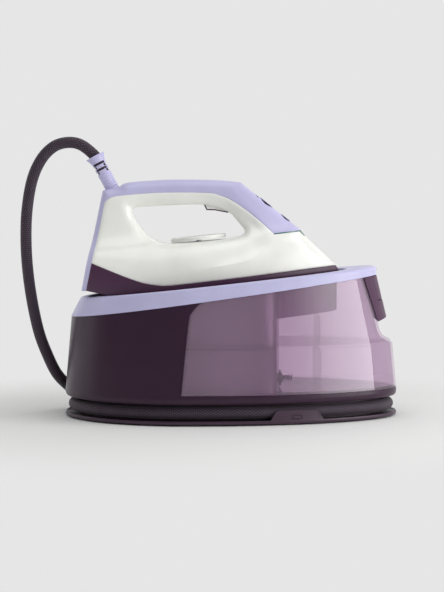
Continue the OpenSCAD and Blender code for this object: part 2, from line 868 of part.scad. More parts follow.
// A shell of the iron: the part of its form inside a side outline, hollowed by the wall
module iron_shell() {
    difference() {
        intersection() {
            iron_form(0);
            across(sole_half + 1) children();
        }
        intersection() {
            iron_form(iron_wall);
            across(sole_half)
                difference() {
                    offset(delta = -iron_wall) whole_outline();
                    offset(delta = iron_wall) opening_outline();
                }
        }
    }
}

// Soleplate outline from its heel, drawn in by g
module sole_outline(back, g) {
    side = concat(smooth([[back, 38 - g], [back + 2.5, 45 - g], [back + 9, 50 - g], [back + 24, 54 - g],
        [widest_x, sole_half - g]], 3), [for (i = [1 : 14]) nose_side(g)[i]]);
    polygon(concat(side, [for (p = flip(side)) if (p[1] > eps) [p[0], -p[1]]]));
}

module soleplate() {
    vents = 9;
    vent_r = 1.2;
    vent_inset = 13;
    color(steel)
        on_iron()
            difference() {
                linear_extrude(skirt_low - 0.35) sole_outline(sole_back, 1.2);
                for (s = [-1, 1])
                    for (i = [0 : vents - 1])
                        let (x = 100 + i * 16)
                            translate([x, s * (nose_half(x, 0) - vent_inset), -1])
                                cylinder(h = skirt_low + 2, r = vent_r);
            }
}

chamber_back = 54;
chamber_top = 15;
module chamber_plan(g) {
    sole_outline(chamber_back + g, 12 + g);
}

module steam_chamber() {
    color(alu)
        on_iron()
            difference() {
                translate([0, 0, skirt_low - 0.3])
                    linear_extrude(chamber_top - skirt_low + 0.3) chamber_plan(0);
                translate([0, 0, 7]) linear_extrude(chamber_top) chamber_plan(5);
            }
}

module sole_heater() {
    color(grey)
        on_iron() translate([0, 0, 10.6]) {
            translate([178, 0, 0])
                rotate([0, 0, -90]) rotate_extrude(angle = 180) translate([20, 0]) circle(3.4);
            for (s = [-1, 1])
                translate([90, s * 20, 0]) rotate([0, 90, 0]) cylinder(h = 88, r = 3.4);
        }
}

module chamber_seal() {
    color(rubber)
        on_iron()
            translate([0, 0, chamber_top])
                linear_extrude(0.8) difference() {
                    chamber_plan(0.5);
                    chamber_plan(4.5);
                }
}

module chamber_lid() {
    color(alu)
        on_iron() translate([0, 0, chamber_top + 0.8]) linear_extrude(2.2) chamber_plan(0);
}

module heat_skirt() {
    color(plum)
        on_iron()
            difference() {
                iron_shell() skirt_outline();
                translate([0, 0, -5]) linear_extrude(40) sole_outline(chamber_back - 1, 11);
            }
}

pivot = [160, 83];
// Gap between the body and the shells that close on it
seam = 0.4;
module iron_body() {
    color(white)
        on_iron() {
            difference() {
                iron_shell()
                    difference() {
                        whole_outline();
                        opening_outline();
                        offset(delta = seam) cover_outline();
                        offset(delta = seam) skirt_outline();
                        offset(delta = 0.2) light_outline();
                    }
                // slot of the trigger and hole of the dial's shaft
                across(9.8) polygon([[132, 97], [132, 84], [137, 79], [165, 71.5], [166.5, 90], [160, 97]]);
                translate([dial_x, 0, 40]) cylinder(h = 20, r = 4);
            }
            for (s = [-1, 1])
                translate([pivot[0], s * 13.9, pivot[1]]) rotate([90, 0, 0])
                    difference() {
                        cylinder(h = 7.4, r = 4, center = true);
                        cylinder(h = 8, r = pin_r + 0.03, center = true);
                    }
        }
}

module on_slope(p) {
    translate([p[0], 0, p[1]]) rotate([0, slope_turn, 0]) children();
}

power_at = [200.2, 83.34];
boost_at = [218.9, 65.2];
power_r = 8.6;
boost_r = 6;
module handle_cover() {
    color(lilac)
        on_iron()
            difference() {
                iron_shell() cover_outline();
                on_slope(power_at) cylinder(h = 20, r = power_r + gap, center = true);
                on_slope(boost_at) cylinder(h = 20, r = boost_r + gap, center = true);
                translate([guard_local[0], 0, guard_local[1]]) rotate([0, guard_turn, 0])
                    cylinder(h = 20, r = guard_r + 0.3, center = true);
                for (p = heel_screws)
                    on_heel(p) {
                        translate([0, 0, -6]) cylinder(h = 8, r = 1.9);
                        translate([0, 0, -1.1]) cylinder(h = 4, r = 3.5);
                    }
            }
}

module indicator_light() {
    color("#3d8c86")
        on_iron() iron_shell() light_outline();
}

dial_x = 126;
dial_z = 52.2;
dial_h = 4.4;
shaft_r = 3;
module temperature_dial() {
    color("#dcdcd8")
        on_iron() translate([dial_x, 0, dial_z])
            difference() {
                rotate_extrude()
                    polygon([[0, 0], [dial_r - 1, 0], [dial_r, 1], [dial_r, dial_h - 1.6],
                        [dial_r - 1.6, dial_h], [0, dial_h]]);
                translate([0, 0, -1]) cylinder(h = 3.6, r = shaft_r + 0.05);
                translate([dial_r - 6, 0, dial_h - 0.5]) cylinder(h = 1, r = 1.6);
            }
}

lid_top = chamber_top + 3;
module dial_shaft() {
    color(steel)
        on_iron() translate([dial_x, 0, lid_top + 10]) cylinder(h = dial_z + 2.4 - lid_top - 10, r = shaft_r);
}

module iron_thermostat() {
    color(grey)
        on_iron() translate([dial_x, 0, lid_top]) {
            cylinder(h = 10, r = 9);
            translate([-14, -4, 2]) cube([28, 8, 3]);
        }
}

trigger_half = 9;
module steam_trigger() {
    color("#cfccc8")
        on_iron()
            difference() {
                across(trigger_half)
                    polygon([[134, 90], [137.6, 82.1], [146.3, 80.9], [159.5, 76.9], [163.4, 80], [163.4, 86],
                        [157, 87.6], [146, 87.4], [139, 92.5]]);
                translate([pivot[0], 0, pivot[1]]) rotate([90, 0, 0])
                    cylinder(h = 2 * trigger_half + 2, r = pin_r + 0.05, center = true);
            }
}

module trigger_pin() {
    color(steel)
        on_iron() translate([pivot[0], 0, pivot[1]]) rotate([90, 0, 0])
            cylinder(h = 32, r = pin_r, center = true);
}

switch_z = 98;
module trigger_spring() {
    color(steel)
        on_iron() translate([150.5, 0, 87.9]) coil(3, 0.5, switch_z - 88.1, 5);
}

module micro_switch() {
    color(rubber)
        on_iron() {
            translate([133, -5.5, switch_z]) cube([23, 11, 6]);
            translate([141, 0, switch_z - 1.2]) cylinder(h = 2, r = 1.4);
        }
}

module slope_button(r) {
    translate([0, 0, -5]) cylinder(h = 5.8, r = r);
    translate([0, 0, -5]) cylinder(h = 1.8, r = r + 1.4);
    translate([0, 0, -9]) cylinder(h = 5, r = 2.4);
}

module power_button() {
    color("#d7d4ea")
        on_iron() on_slope(power_at) slope_button(power_r);
}

module boost_button() {
    color("#d7d4ea")
        on_iron() on_slope(boost_at) slope_button(boost_r);
}

module button_board() {
    mid = (power_at + boost_at) / 2;
    reach = norm(power_at - boost_at) / 2;
    color(board_green)
        on_iron() on_slope(mid) {
            translate([-reach - 9, -12, -14]) cube([2 * reach + 16, 24, 1.6]);
            for (s = [-1, 1])
                translate([s * reach - 3, -3, -12.5]) cube([6, 6, 1.9]);
        }
}

module iron_steam_tube() {
    color(brass)
        on_iron()
            tube([[44, 0, 106], [45, 0, 96], [58, 0, 42], [64, 0, 29], [64, 0, lid_top + 6],
                [64, 0, lid_top + 0.1]], 3);
}

guard_turn = -27.9 + platform_tilt;
guard_local = [41.7, 115.3];
guard_r = 7.3;
guard_len = 37.8;
bore_r = hose_r + 0.15;
module bend_guard() {
    slots = [28, 24.6, 21.2, 17.8];
    color(lilac)
        translate(guard_foot) rotate([0, guard_turn - platform_tilt, 0])
            difference() {
                rotate_extrude()
                    polygon([[bore_r, -5], [guard_r, -5], [guard_r, 4], [bore_r + 0.9, 20], [bore_r + 1, 29],
                        [bore_r + 2, 33], [10.7, guard_len], [bore_r + 2.6, guard_len],
                        [bore_r, guard_len - 12]]);
                for (i = [0 : len(slots) - 1])
                    for (s = [0, 180])
                        rotate([0, 0, s + (i % 2 == 0 ? 40 : -50)])
                            translate([0, 0, slots[i]])
                                rotate_extrude(angle = 100) translate([bore_r - 1, 0]) square([6, 2]);
            }
}

heel_screws = [26, 84];
// On the heel's outer face, at a distance along it from its foot
module on_heel(d) {
    translate([heel_foot[0] + d * sin(heel_lean), 0, heel_foot[1] + d * cos(heel_lean)])
        rotate([0, heel_lean - 90, 0]) children();
}

module iron_screws() {
    color(steel)
        on_iron()
            for (p = heel_screws)
                on_heel(p) {
                    translate([0, 0, -1]) cylinder(h = 0.8, r = 3.2);
                    translate([0, 0, -8]) cylinder(h = 7.4, r = 1.7);
                }
}

// --- the pieces ---

// The frame's origin lies at the middle of the whole length, from the hose loop to the nose
origin_x = (min([for (p = hose_loop) p[0]]) - hose_r + station_l / 2) / 2;

// Moves a piece from the station's middle into the object's frame
module placed() translate([-origin_x, 0, 0]) children();

placed() hose_tray();
placed() rubber_feet();
placed() tray_screws();
placed() station_housing();
placed() core_cover();
placed() platform_rim();
placed() platform_deck();
placed() rest_pads();
placed() boiler();
placed() boiler_heater();
placed() boiler_thermostat();
placed() steam_valve();
placed() safety_valve();
placed() water_pump();
placed() pump_mounts();
placed() inlet_tube();
placed() feed_tube();
placed() steam_tube();
placed() hose_outlet();
placed() control_board();
placed() drain_pipe();
placed() descaling_knob();
placed() cord_bay();
placed() mains_cord();
placed() mains_plug();
placed() cord_bush();
placed() tank_seal();
placed() tank_lower();
placed() tank_upper();
placed() tank_baffle();
placed() tank_grip();
placed() tank_valve();
placed() tank_valve_spring();
placed() release_button();
placed() release_spring();
placed() soleplate();
placed() steam_chamber();
placed() sole_heater();
placed() chamber_seal();
placed() chamber_lid();
placed() heat_skirt();
placed() iron_body();
placed() handle_cover();
placed() indicator_light();
placed() temperature_dial();
placed() dial_shaft();
placed() iron_thermostat();
placed() steam_trigger();
placed() trigger_pin();
placed() trigger_spring();
placed() micro_switch();
placed() power_button();
placed() boost_button();
placed() button_board();
placed() iron_steam_tube();
placed() bend_guard();
placed() iron_screws();
placed() steam_hose();
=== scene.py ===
"""Looks of a steam generator iron: a station with a water tank, and an iron on a braided hose.

Lengths are in millimetres and become metres where a mesh is made. +X points to the nose, +Z is up.
Places are measured from the station's middle, and place() moves each piece into the object's frame.
"""

import json
import math

import bpy
import bmesh
import numpy as np
from mathutils import Matrix, Vector
from mathutils.geometry import delaunay_2d_cdt


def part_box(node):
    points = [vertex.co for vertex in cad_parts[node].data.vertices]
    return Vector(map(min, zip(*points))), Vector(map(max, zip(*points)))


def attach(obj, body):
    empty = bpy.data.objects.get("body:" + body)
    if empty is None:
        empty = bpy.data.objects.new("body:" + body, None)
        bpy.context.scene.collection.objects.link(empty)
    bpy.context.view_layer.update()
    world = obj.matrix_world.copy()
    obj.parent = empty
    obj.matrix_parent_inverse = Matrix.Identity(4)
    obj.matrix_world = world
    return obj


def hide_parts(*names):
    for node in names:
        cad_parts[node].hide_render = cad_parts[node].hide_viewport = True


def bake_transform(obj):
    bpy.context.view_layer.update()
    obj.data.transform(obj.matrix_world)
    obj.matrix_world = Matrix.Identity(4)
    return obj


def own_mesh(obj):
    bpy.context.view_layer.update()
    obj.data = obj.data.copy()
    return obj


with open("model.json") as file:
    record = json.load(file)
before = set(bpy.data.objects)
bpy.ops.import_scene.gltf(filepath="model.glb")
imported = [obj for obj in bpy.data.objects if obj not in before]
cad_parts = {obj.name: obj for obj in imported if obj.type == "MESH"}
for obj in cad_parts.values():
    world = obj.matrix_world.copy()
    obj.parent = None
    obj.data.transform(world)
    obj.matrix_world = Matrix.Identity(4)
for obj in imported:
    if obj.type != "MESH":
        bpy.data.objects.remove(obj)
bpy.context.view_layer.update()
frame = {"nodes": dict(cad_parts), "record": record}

MM = 0.001
TAU = 2 * math.pi


# --- places taken from the frame ---

STATION_X = (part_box("hose_tray")[0][0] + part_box("hose_tray")[1][0]) / 2
TO_FRAME = Matrix.Translation((STATION_X, 0, 0))


def node_box(node):
    """Lowest and highest corner of a CAD node, in millimetres from the station's middle."""
    middle = np.array([STATION_X, 0, 0])
    low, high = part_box(node)
    return (np.array(low) - middle) / MM, (np.array(high) - middle) / MM


HOUSING_LOW, HOUSING_HIGH = node_box("station_housing")
TRAY_LOW, TRAY_HIGH = node_box("hose_tray")
TANK_LOW, TANK_HIGH = node_box("tank_lower")

STATION_L = TRAY_HIGH[0] - TRAY_LOW[0]
STATION_W = TRAY_HIGH[1] - TRAY_LOW[1]
BASE_Z = HOUSING_LOW[2]
TANK_Z = TANK_LOW[2]
SEAM_Z = TANK_HIGH[2]
STRIP_TOP = TANK_Z - 0.6

# The same proportions as the CAD model's station
REAR_SHARE = 0.377
RIM_LOW_Z = 126.9
RIM_SLOPE = 0.1365
PLATFORM_Z = 141.0
PLATFORM_TILT = math.radians(6.1)
PLATFORM_RISE = math.tan(PLATFORM_TILT)
SOLE_DROP = 5.97
WALL = 2.8
GAP = 0.4
TANK_WALL = 2.2
FOOT_Z = 28.0
REAR_DRAFT = 0.088
NOSE_DRAFT = 0.09
UPPER_NOSE_DRAFT = 0.235
SIDE_DRAFT = 0.134
EGG_X = -STATION_L / 2 + REAR_SHARE * STATION_L
RING_N = 256


# --- curves ---

def smooth(points, k, closed=False):
    """Catmull-Rom curve through points, with k steps between neighbours."""
    p = np.array(points, float)
    n = len(p)
    u = np.arange(k)[:, None] / k
    out = []
    for i in range(n if closed else n - 1):
        if closed:
            a, b, c, d = p[(i - 1) % n], p[i], p[(i + 1) % n], p[(i + 2) % n]
        else:
            a, b, c, d = p[max(i - 1, 0)], p[i], p[i + 1], p[min(i + 2, n - 1)]
        out.append(0.5 * (2 * b + (c - a) * u + (2 * a - 5 * b + 4 * c - d) * u ** 2
                          + (3 * b - a - 3 * c + d) * u ** 3))
    if not closed:
        out.append(p[-1:])
    return np.concatenate(out)


def evenly(points, step, closed=False):
    """The same polyline with points no further apart than step; its own points are kept."""
    p = np.array(points, float)
    if closed:
        p = np.vstack([p, p[:1]])
    out = []
    for a, b in zip(p[:-1], p[1:]):
        n = max(1, math.ceil(np.linalg.norm(b - a) / step))
        out.append(a + (b - a) * (np.arange(n) / n)[:, None])
    if not closed:
        out.append(p[-1:])
    return np.concatenate(out)


def resample(points, step):
    """Points at equal distances along a polyline."""
    p = np.array(points, float)
    run = np.concatenate([[0], np.cumsum(np.linalg.norm(np.diff(p, axis=0), axis=1))])
    at = np.linspace(0, run[-1], max(2, int(run[-1] / step)) + 1)
    return np.stack([np.interp(at, run, p[:, i]) for i in range(p.shape[1])], axis=1)


def ease(x, low, high):
    """Rises smoothly from 0 at low to 1 at high."""
    t = np.clip((np.asarray(x, float) - low) / (high - low), 0, 1)
    return t * t * (3 - 2 * t)


def to_polyline(points, line, closed=False):
    """Distance of each 2-D point to a polyline."""
    p = np.asarray(points, float)
    l = np.asarray(line, float)
    a, b = (l, np.roll(l, -1, axis=0)) if closed else (l[:-1], l[1:])
    best = np.full(len(p), 1e9)
    for s, e in zip(a, b):
        d = e - s
        t = np.clip(((p - s) @ d) / max(d @ d, 1e-9), 0, 1)
        best = np.minimum(best, np.linalg.norm(p - s - t[:, None] * d, axis=1))
    return best


def inside(points, polygon):
    """Which 2-D points lie inside a closed polygon."""
    p = np.asarray(points, float)
    poly = np.asarray(polygon, float)
    hit = np.zeros(len(p), bool)
    for (x0, z0), (x1, z1) in zip(poly, np.roll(poly, -1, axis=0)):
        if z0 == z1:
            continue
        crosses = (p[:, 1] < z0) != (p[:, 1] < z1)
        hit ^= crosses & (p[:, 0] < (x1 - x0) * (p[:, 1] - z0) / (z1 - z0) + x0)
    return hit


# --- meshes ---

def new_object(name, verts, faces):
    """An object from points in millimetres, with its normals made to point outwards."""
    mesh = bpy.data.meshes.new(name)
    mesh.from_pydata((np.asarray(verts, float) * MM).tolist(), [], faces)
    bm = bmesh.new()
    bm.from_mesh(mesh)
    bmesh.ops.recalc_face_normals(bm, faces=bm.faces)
    bm.to_mesh(mesh)
    bm.free()
    obj = bpy.data.objects.new(name, mesh)
    bpy.context.scene.collection.objects.link(obj)
    return obj


def ring_faces(rows, n, closed=False):
    out = []
    for r in range(rows if closed else rows - 1):
        s = (r + 1) % rows
        for i in range(n):
            j = (i + 1) % n
            out.append((r * n + i, r * n + j, s * n + j, s * n + i))
    return out


def loft(rings, name="loft"):
    """A closed solid through rings that run from the bottom to the top."""
    n, rows = len(rings[0]), len(rings)
    ends = [tuple(range(n - 1, -1, -1)), tuple((rows - 1) * n + i for i in range(n))]
    return new_object(name, np.concatenate(rings), ring_faces(rows, n) + ends)


def band(rings, name="band"):
    """A closed band: the last ring meets the first."""
    return new_object(name, np.concatenate(rings), ring_faces(len(rings), len(rings[0]), True))


def prism(outline, low, high, axis="y", name="prism"):
    """A prism of an outline in X and Z along Y, or of an outline in X and Y along Z."""
    o = np.array(outline, float)
    if axis == "y":
        ends = [np.column_stack([o[:, 0], np.full(len(o), v), o[:, 1]]) for v in (low, high)]
    else:
        ends = [np.column_stack([o, np.full(len(o), v)]) for v in (low, high)]
    return loft(ends, name)


def lathe(profile, n=96, name="lathe"):
    """A solid of revolution round Z from (radius, height) points; the profile closes on itself."""
    turn = np.arange(n) / n * TAU
    verts, rows = [], []
    for r, z in profile:
        if r < 1e-6:
            rows.append([len(verts)] * n)
            verts.append((0, 0, z))
        else:
            rows.append(list(range(len(verts), len(verts) + n)))
            verts.extend((r * math.cos(a), r * math.sin(a), z) for a in turn)
    faces = []
    for a, b in zip(rows, rows[1:] + rows[:1]):
        for i in range(n):
            j = (i + 1) % n
            face = list(dict.fromkeys([a[i], a[j], b[j], b[i]]))
            if len(face) > 2:
                faces.append(tuple(face))
    return new_object(name, verts, faces)


def cylinder(centre, axis, radius, low, high, n=64):
    """A plain round tool for cutting holes."""
    obj = lathe([(0, low), (radius, low), (radius, high), (0, high)], n, "tool")
    turn = Vector((0, 0, 1)).rotation_difference(Vector(axis))
    return moved(obj, Matrix.Translation(Vector(centre) * MM) @ turn.to_matrix().to_4x4())


def moved(obj, matrix):
    """Puts a turn and a shift into the mesh itself."""
    obj.data.transform(matrix)
    return obj


def settle(obj):
    """Applies an object's modifiers to its mesh."""
    bpy.context.view_layer.update()
    dg = bpy.context.evaluated_depsgraph_get()
    mesh = bpy.data.meshes.new_from_object(obj.evaluated_get(dg))
    obj.modifiers.clear()
    obj.data = mesh
    return obj


def combine(obj, tool, operation):
    m = obj.modifiers.new("cut", "BOOLEAN")
    m.operation = operation
    m.object = tool
    m.solver = "MANIFOLD"
    settle(obj)
    bpy.data.objects.remove(tool)
    return obj


def minus(obj, *tools):
    for tool in tools:
        combine(obj, tool, "DIFFERENCE")
    return obj


def common(obj, tool):
    return combine(obj, tool, "INTERSECT")


def joined(obj, *others):
    for other in others:
        combine(obj, other, "UNION")
    return obj


def soft_edges(obj, width, segments=3, angle=35):
    """Rounds the sharp edges and shades the rest smooth."""
    m = obj.modifiers.new("edges", "BEVEL")
    m.width = width * MM
    m.segments = segments
    m.limit_method = "ANGLE"
    m.angle_limit = math.radians(angle)
    m.use_clamp_overlap = True
    m.harden_normals = True
    return shade(obj, angle)


def shade(obj, angle=35):
    obj.data.polygons.foreach_set("use_smooth", [True] * len(obj.data.polygons))
    obj.data.set_sharp_from_angle(angle=math.radians(angle))
    return obj


def sweep(path, radius, sides, name, bulge=None):
    """A round tube along a path, with a UV map of length in centimetres and turn from 0 to 1."""
    p = np.array(path, float)
    d = np.gradient(p, axis=0)
    d /= np.linalg.norm(d, axis=1)[:, None]
    u = np.cross(d[0], [0, 0, 1] if abs(d[0][2]) < 0.9 else [1, 0, 0])
    rings = []
    run = np.concatenate([[0], np.cumsum(np.linalg.norm(np.diff(p, axis=0), axis=1))])
    angle = np.arange(sides) / sides * TAU
    for i in range(len(p)):
        u = u - d[i] * (u @ d[i])
        u /= np.linalg.norm(u)
        w = np.cross(d[i], u)
        r = radius + (bulge(run[i], angle) if bulge else 0)
        rings.append(p[i] + (r * np.cos(angle))[:, None] * u + (r * np.sin(angle))[:, None] * w)
    obj = loft(rings, name)
    uv = obj.data.uv_layers.new(name="along")
    for face in obj.data.polygons:
        if len(face.vertices) != 4:
            continue
        turns = [v % sides for v in face.vertices]
        wraps = max(turns) - min(turns) > 1
        for loop, v, t in zip(face.loop_indices, face.vertices, turns):
            t = t + sides if wraps and t == 0 else t
            uv.data[loop].uv = (run[v // sides] / 10, t / sides)
    return obj


# --- materials ---

def linear(rgb):
    """Linear colour from 0 to 255 display values."""
    c = [v / 255 for v in rgb]
    return tuple(v / 12.92 if v <= 0.04045 else ((v + 0.055) / 1.055) ** 2.4 for v in c) + (1,)


class Shader:
    """A material and short ways to add nodes to it."""

    def __init__(self, name):
        self.material = bpy.data.materials.new(name)
        self.material.use_nodes = True
        self.tree = self.material.node_tree
        self.tree.nodes.clear()
        self.out = self.add("ShaderNodeOutputMaterial")
        self.coord = self.add("ShaderNodeTexCoord")

    def add(self, kind, **values):
        node = self.tree.nodes.new(kind)
        for key, value in values.items():
            if hasattr(node, key):
                setattr(node, key, value)
            else:
                node.inputs[key.replace("_", " ")].default_value = value
        return node

    def link(self, a, b):
        self.tree.links.new(a, b)

    def noise(self, scale, detail=3.0, roughness=0.55):
        n = self.add("ShaderNodeTexNoise")
        n.inputs["Scale"].default_value = scale
        n.inputs["Detail"].default_value = detail
        n.inputs["Roughness"].default_value = roughness
        self.link(self.coord.outputs["Object"], n.inputs["Vector"])
        return n.outputs["Fac"]

    def spread(self, value, low, high):
        """Maps 0.3..0.7 of a noise to low..high."""
        n = self.add("ShaderNodeMapRange")
        n.inputs["From Min"].default_value = 0.3
        n.inputs["From Max"].default_value = 0.7
        n.inputs["To Min"].default_value = low
        n.inputs["To Max"].default_value = high
        self.link(value, n.inputs["Value"])
        return n.outputs["Result"]

    def math(self, operation, a, b=None):
        n = self.add("ShaderNodeMath")
        n.operation = operation
        for i, v in enumerate((a, b)):
            if v is None:
                continue
            if isinstance(v, (int, float)):
                n.inputs[i].default_value = v
            else:
                self.link(v, n.inputs[i])
        return n.outputs[0]

    def tint(self, factor, low, high):
        n = self.add("ShaderNodeMix")
        n.data_type = "RGBA"
        n.inputs["A"].default_value = low
        n.inputs["B"].default_value = high
        for socket in n.inputs:
            if socket.name == "A" and socket.type == "RGBA":
                socket.default_value = low
            if socket.name == "B" and socket.type == "RGBA":
                socket.default_value = high
        self.link(factor, n.inputs["Factor"])
        return [o for o in n.outputs if o.type == "RGBA"][0]

    def across(self, low_x, high_x, low, high):
        """A value that goes smoothly from low to high between two places along X."""
        split = self.add("ShaderNodeSeparateXYZ")
        self.link(self.coord.outputs["Object"], split.inputs[0])
        n = self.add("ShaderNodeMapRange")
        n.interpolation_type = "SMOOTHSTEP"
        n.inputs["From Min"].default_value = low_x * MM + STATION_X
        n.inputs["From Max"].default_value = high_x * MM + STATION_X
        n.inputs["To Min"].default_value = low
        n.inputs["To Max"].default_value = high
        self.link(split.outputs["X"], n.inputs["Value"])
        return n.outputs["Result"]

    def bump(self, height, strength, distance):
        n = self.add("ShaderNodeBump")
        n.inputs["Strength"].default_value = strength
        n.inputs["Distance"].default_value = distance * MM
        self.link(height, n.inputs["Height"])
        return n.outputs["Normal"]


def shifted(rgb, share):
    return tuple(min(255, max(0, v * share)) for v in rgb)


def plastic(name, rgb, rough=0.3, grain=0.25, coat=0.0, metal=0.0, depth=0.04, specular=0.5):
    """Moulded plastic, rubber or metal: slight colour drift, uneven gloss and a fine skin."""
    s = Shader(name)
    b = s.add("ShaderNodeBsdfPrincipled")
    drift = s.noise(18, 4)
    s.link(s.tint(s.spread(drift, 0, 1), linear(shifted(rgb, 0.965)), linear(shifted(rgb, 1.03))),
           b.inputs["Base Color"])
    s.link(s.spread(s.noise(55, 5), rough * 0.86, rough * 1.16), b.inputs["Roughness"])
    fine = s.math("ADD", s.noise(1400, 2), s.math("MULTIPLY", s.noise(160, 3), 0.6))
    s.link(s.bump(fine, grain, depth), b.inputs["Normal"])
    b.inputs["Metallic"].default_value = metal
    b.inputs["Coat Weight"].default_value = coat
    b.inputs["Coat Roughness"].default_value = 0.12
    b.inputs["Specular IOR Level"].default_value = specular
    s.link(b.outputs[0], s.out.inputs["Surface"])
    return s.material


def clear_plastic(name, tint_rgb, body_rgb, veils, rough=0.05):
    """Tinted see-through plastic: light passes straight on, under a gloss and a veil of body colour.

    veils gives the veil's share at the rear, where the wall lies over the core, and at the nose.
    Only faces seen from outside their wall carry it, so each wall is veiled once.
    """
    s = Shader(name)
    through = s.add("ShaderNodeBsdfTransparent")
    s.link(s.tint(s.spread(s.noise(10, 2), 0, 1), linear(shifted(tint_rgb, 0.99)),
                  linear(shifted(tint_rgb, 1.005))), through.inputs["Color"])
    body = s.add("ShaderNodeBsdfPrincipled")
    s.link(s.tint(s.spread(s.noise(14, 3), 0, 1), linear(shifted(body_rgb, 0.98)),
                  linear(shifted(body_rgb, 1.02))), body.inputs["Base Color"])
    body.inputs["Roughness"].default_value = 0.5
    gloss = s.add("ShaderNodeBsdfGlossy")
    s.link(s.spread(s.noise(40, 4), rough * 0.8, rough * 1.3), gloss.inputs["Roughness"])
    s.link(s.bump(s.noise(12, 0), 0.03, 0.04), gloss.inputs["Normal"])
    veil = s.add("ShaderNodeMixShader")
    facing = s.add("ShaderNodeNewGeometry").outputs["Backfacing"]
    s.link(s.math("MULTIPLY", s.across(-20, 75, *veils), s.math("SUBTRACT", 1.0, facing)),
           veil.inputs["Fac"])
    s.link(through.outputs[0], veil.inputs[1])
    s.link(body.outputs[0], veil.inputs[2])
    fresnel = s.add("ShaderNodeFresnel")
    fresnel.inputs["IOR"].default_value = 1.7
    mix = s.add("ShaderNodeMixShader")
    # only the outer side of a wall mirrors: a straight path would meet total reflection from within
    outer = s.math("SUBTRACT", 1.0, facing)
    s.link(s.math("MULTIPLY", fresnel.outputs[0], outer), mix.inputs["Fac"])
    s.link(veil.outputs[0], mix.inputs[1])
    s.link(gloss.outputs[0], mix.inputs[2])
    s.link(mix.outputs[0], s.out.inputs["Surface"])
    return s.material


def braid(name, rgb, light_rgb, strands=26, pitch_cm=0.21):
    """Braided textile sleeve: two crossing families of strands that pass over and under."""
    s = Shader(name)
    uv = s.add("ShaderNodeUVMap")
    uv.uv_map = "along"
    split = s.add("ShaderNodeSeparateXYZ")
    s.link(uv.outputs[0], split.inputs[0])
    length = s.math("DIVIDE", split.outputs["X"], pitch_cm)
    turns = s.math("MULTIPLY", split.outputs["Y"], strands)
    one = s.math("SINE", s.math("MULTIPLY", s.math("ADD", turns, length), math.pi))
    two = s.math("SINE", s.math("MULTIPLY", s.math("SUBTRACT", turns, length), math.pi))
    over = s.math("GREATER_THAN", s.math("MULTIPLY", one, two), 0.0)
    a, b = s.math("ABSOLUTE", one), s.math("ABSOLUTE", two)
    height = s.math("ADD", s.math("MULTIPLY", a, over),
                    s.math("MULTIPLY", b, s.math("SUBTRACT", 1.0, over)))
    yarn = s.math("ADD", s.math("MULTIPLY", height, 0.8), s.math("MULTIPLY", s.noise(900, 2), 0.3))
    # every second strand of one family carries light flecks
    row = s.math("LESS_THAN", s.math("FRACT", s.math("DIVIDE", s.math("ADD", turns, length), 2.0)), 0.5)
    fleck = s.math("MULTIPLY", s.math("POWER", height, 4.0), s.math("MULTIPLY", over, row))
    cloth = s.add("ShaderNodeBsdfPrincipled")
    s.link(s.tint(s.math("MULTIPLY", fleck, 0.7), linear(rgb), linear(light_rgb)),
           cloth.inputs["Base Color"])
    s.link(s.spread(s.noise(120, 3), 0.55, 0.72), cloth.inputs["Roughness"])
    cloth.inputs["Sheen Weight"].default_value = 0.12
    s.link(s.bump(yarn, 0.45, 0.2), cloth.inputs["Normal"])
    s.link(cloth.outputs[0], s.out.inputs["Surface"])
    return s.material


MATERIALS = {
    "dark_plastic": plastic("dark_plastic", (50, 25, 48), 0.34, grain=0.06, specular=0.35),
    "core_plastic": plastic("core_plastic", (134, 98, 130), 0.6, grain=0.1, specular=0.2),
    "tray_plastic": plastic("tray_plastic", (60, 38, 58), 0.4, grain=0.12),
    "plum_plastic": plastic("plum_plastic", (72, 38, 68), 0.36, grain=0.12),
    "grip_plastic": plastic("grip_plastic", (78, 46, 74), 0.4, grain=0.1, specular=0.3),
    "lilac_plastic": plastic("lilac_plastic", (190, 187, 222), 0.34, grain=0.15),
    "white_plastic": plastic("white_plastic", (238, 239, 233), 0.2, grain=0.1, coat=0.3),
    "dial_plastic": plastic("dial_plastic", (230, 231, 226), 0.3),
    "tank_plastic": clear_plastic("tank_plastic", (246, 236, 246), (172, 146, 170), (0.38, 0.24)),
    "light_pipe": clear_plastic("light_pipe", (110, 170, 165), (50, 108, 108), (0.8, 0.8), 0.1),
    "hose_braid": braid("hose_braid", (42, 26, 42), (128, 106, 128)),
    "stainless": plastic("stainless", (196, 198, 202), 0.26, metal=1.0),
    "cast_alloy": plastic("cast_alloy", (160, 162, 166), 0.5, metal=0.9, grain=0.5),
    "heater_sheath": plastic("heater_sheath", (120, 118, 114), 0.45, metal=0.8),
    "yellow_brass": plastic("yellow_brass", (196, 160, 84), 0.3, metal=1.0),
    "black_rubber": plastic("black_rubber", (36, 35, 38), 0.7, grain=0.5),
    "tube_plastic": plastic("tube_plastic", (214, 208, 198), 0.35),
    "dark_fitting": plastic("dark_fitting", (88, 88, 94), 0.5),
    "circuit_board": plastic("circuit_board", (44, 104, 66), 0.45),
}


def dress(obj, slot):
    obj.data.materials.clear()
    obj.data.materials.append(MATERIALS[slot])


def place(obj, name, body, slot, *nodes):
    """Names a piece, gives it its finish and its body, and lets it stand for CAD nodes."""
    obj.name = name
    obj.data.name = name
    moved(obj, TO_FRAME)
    dress(obj, slot)
    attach(obj, body)
    if nodes:
        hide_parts(*nodes)
    return obj


# --- the station's egg form ---

def rear_a(z):
    return REAR_SHARE * STATION_L - REAR_DRAFT * (z - FOOT_Z)


def nose_a(z):
    return ((1 - REAR_SHARE) * STATION_L - NOSE_DRAFT * (np.minimum(z, SEAM_Z) - FOOT_Z)
            - UPPER_NOSE_DRAFT * np.maximum(z - SEAM_Z, 0))


def side_b(z):
    return STATION_W / 2 - SIDE_DRAFT * (z - FOOT_Z)


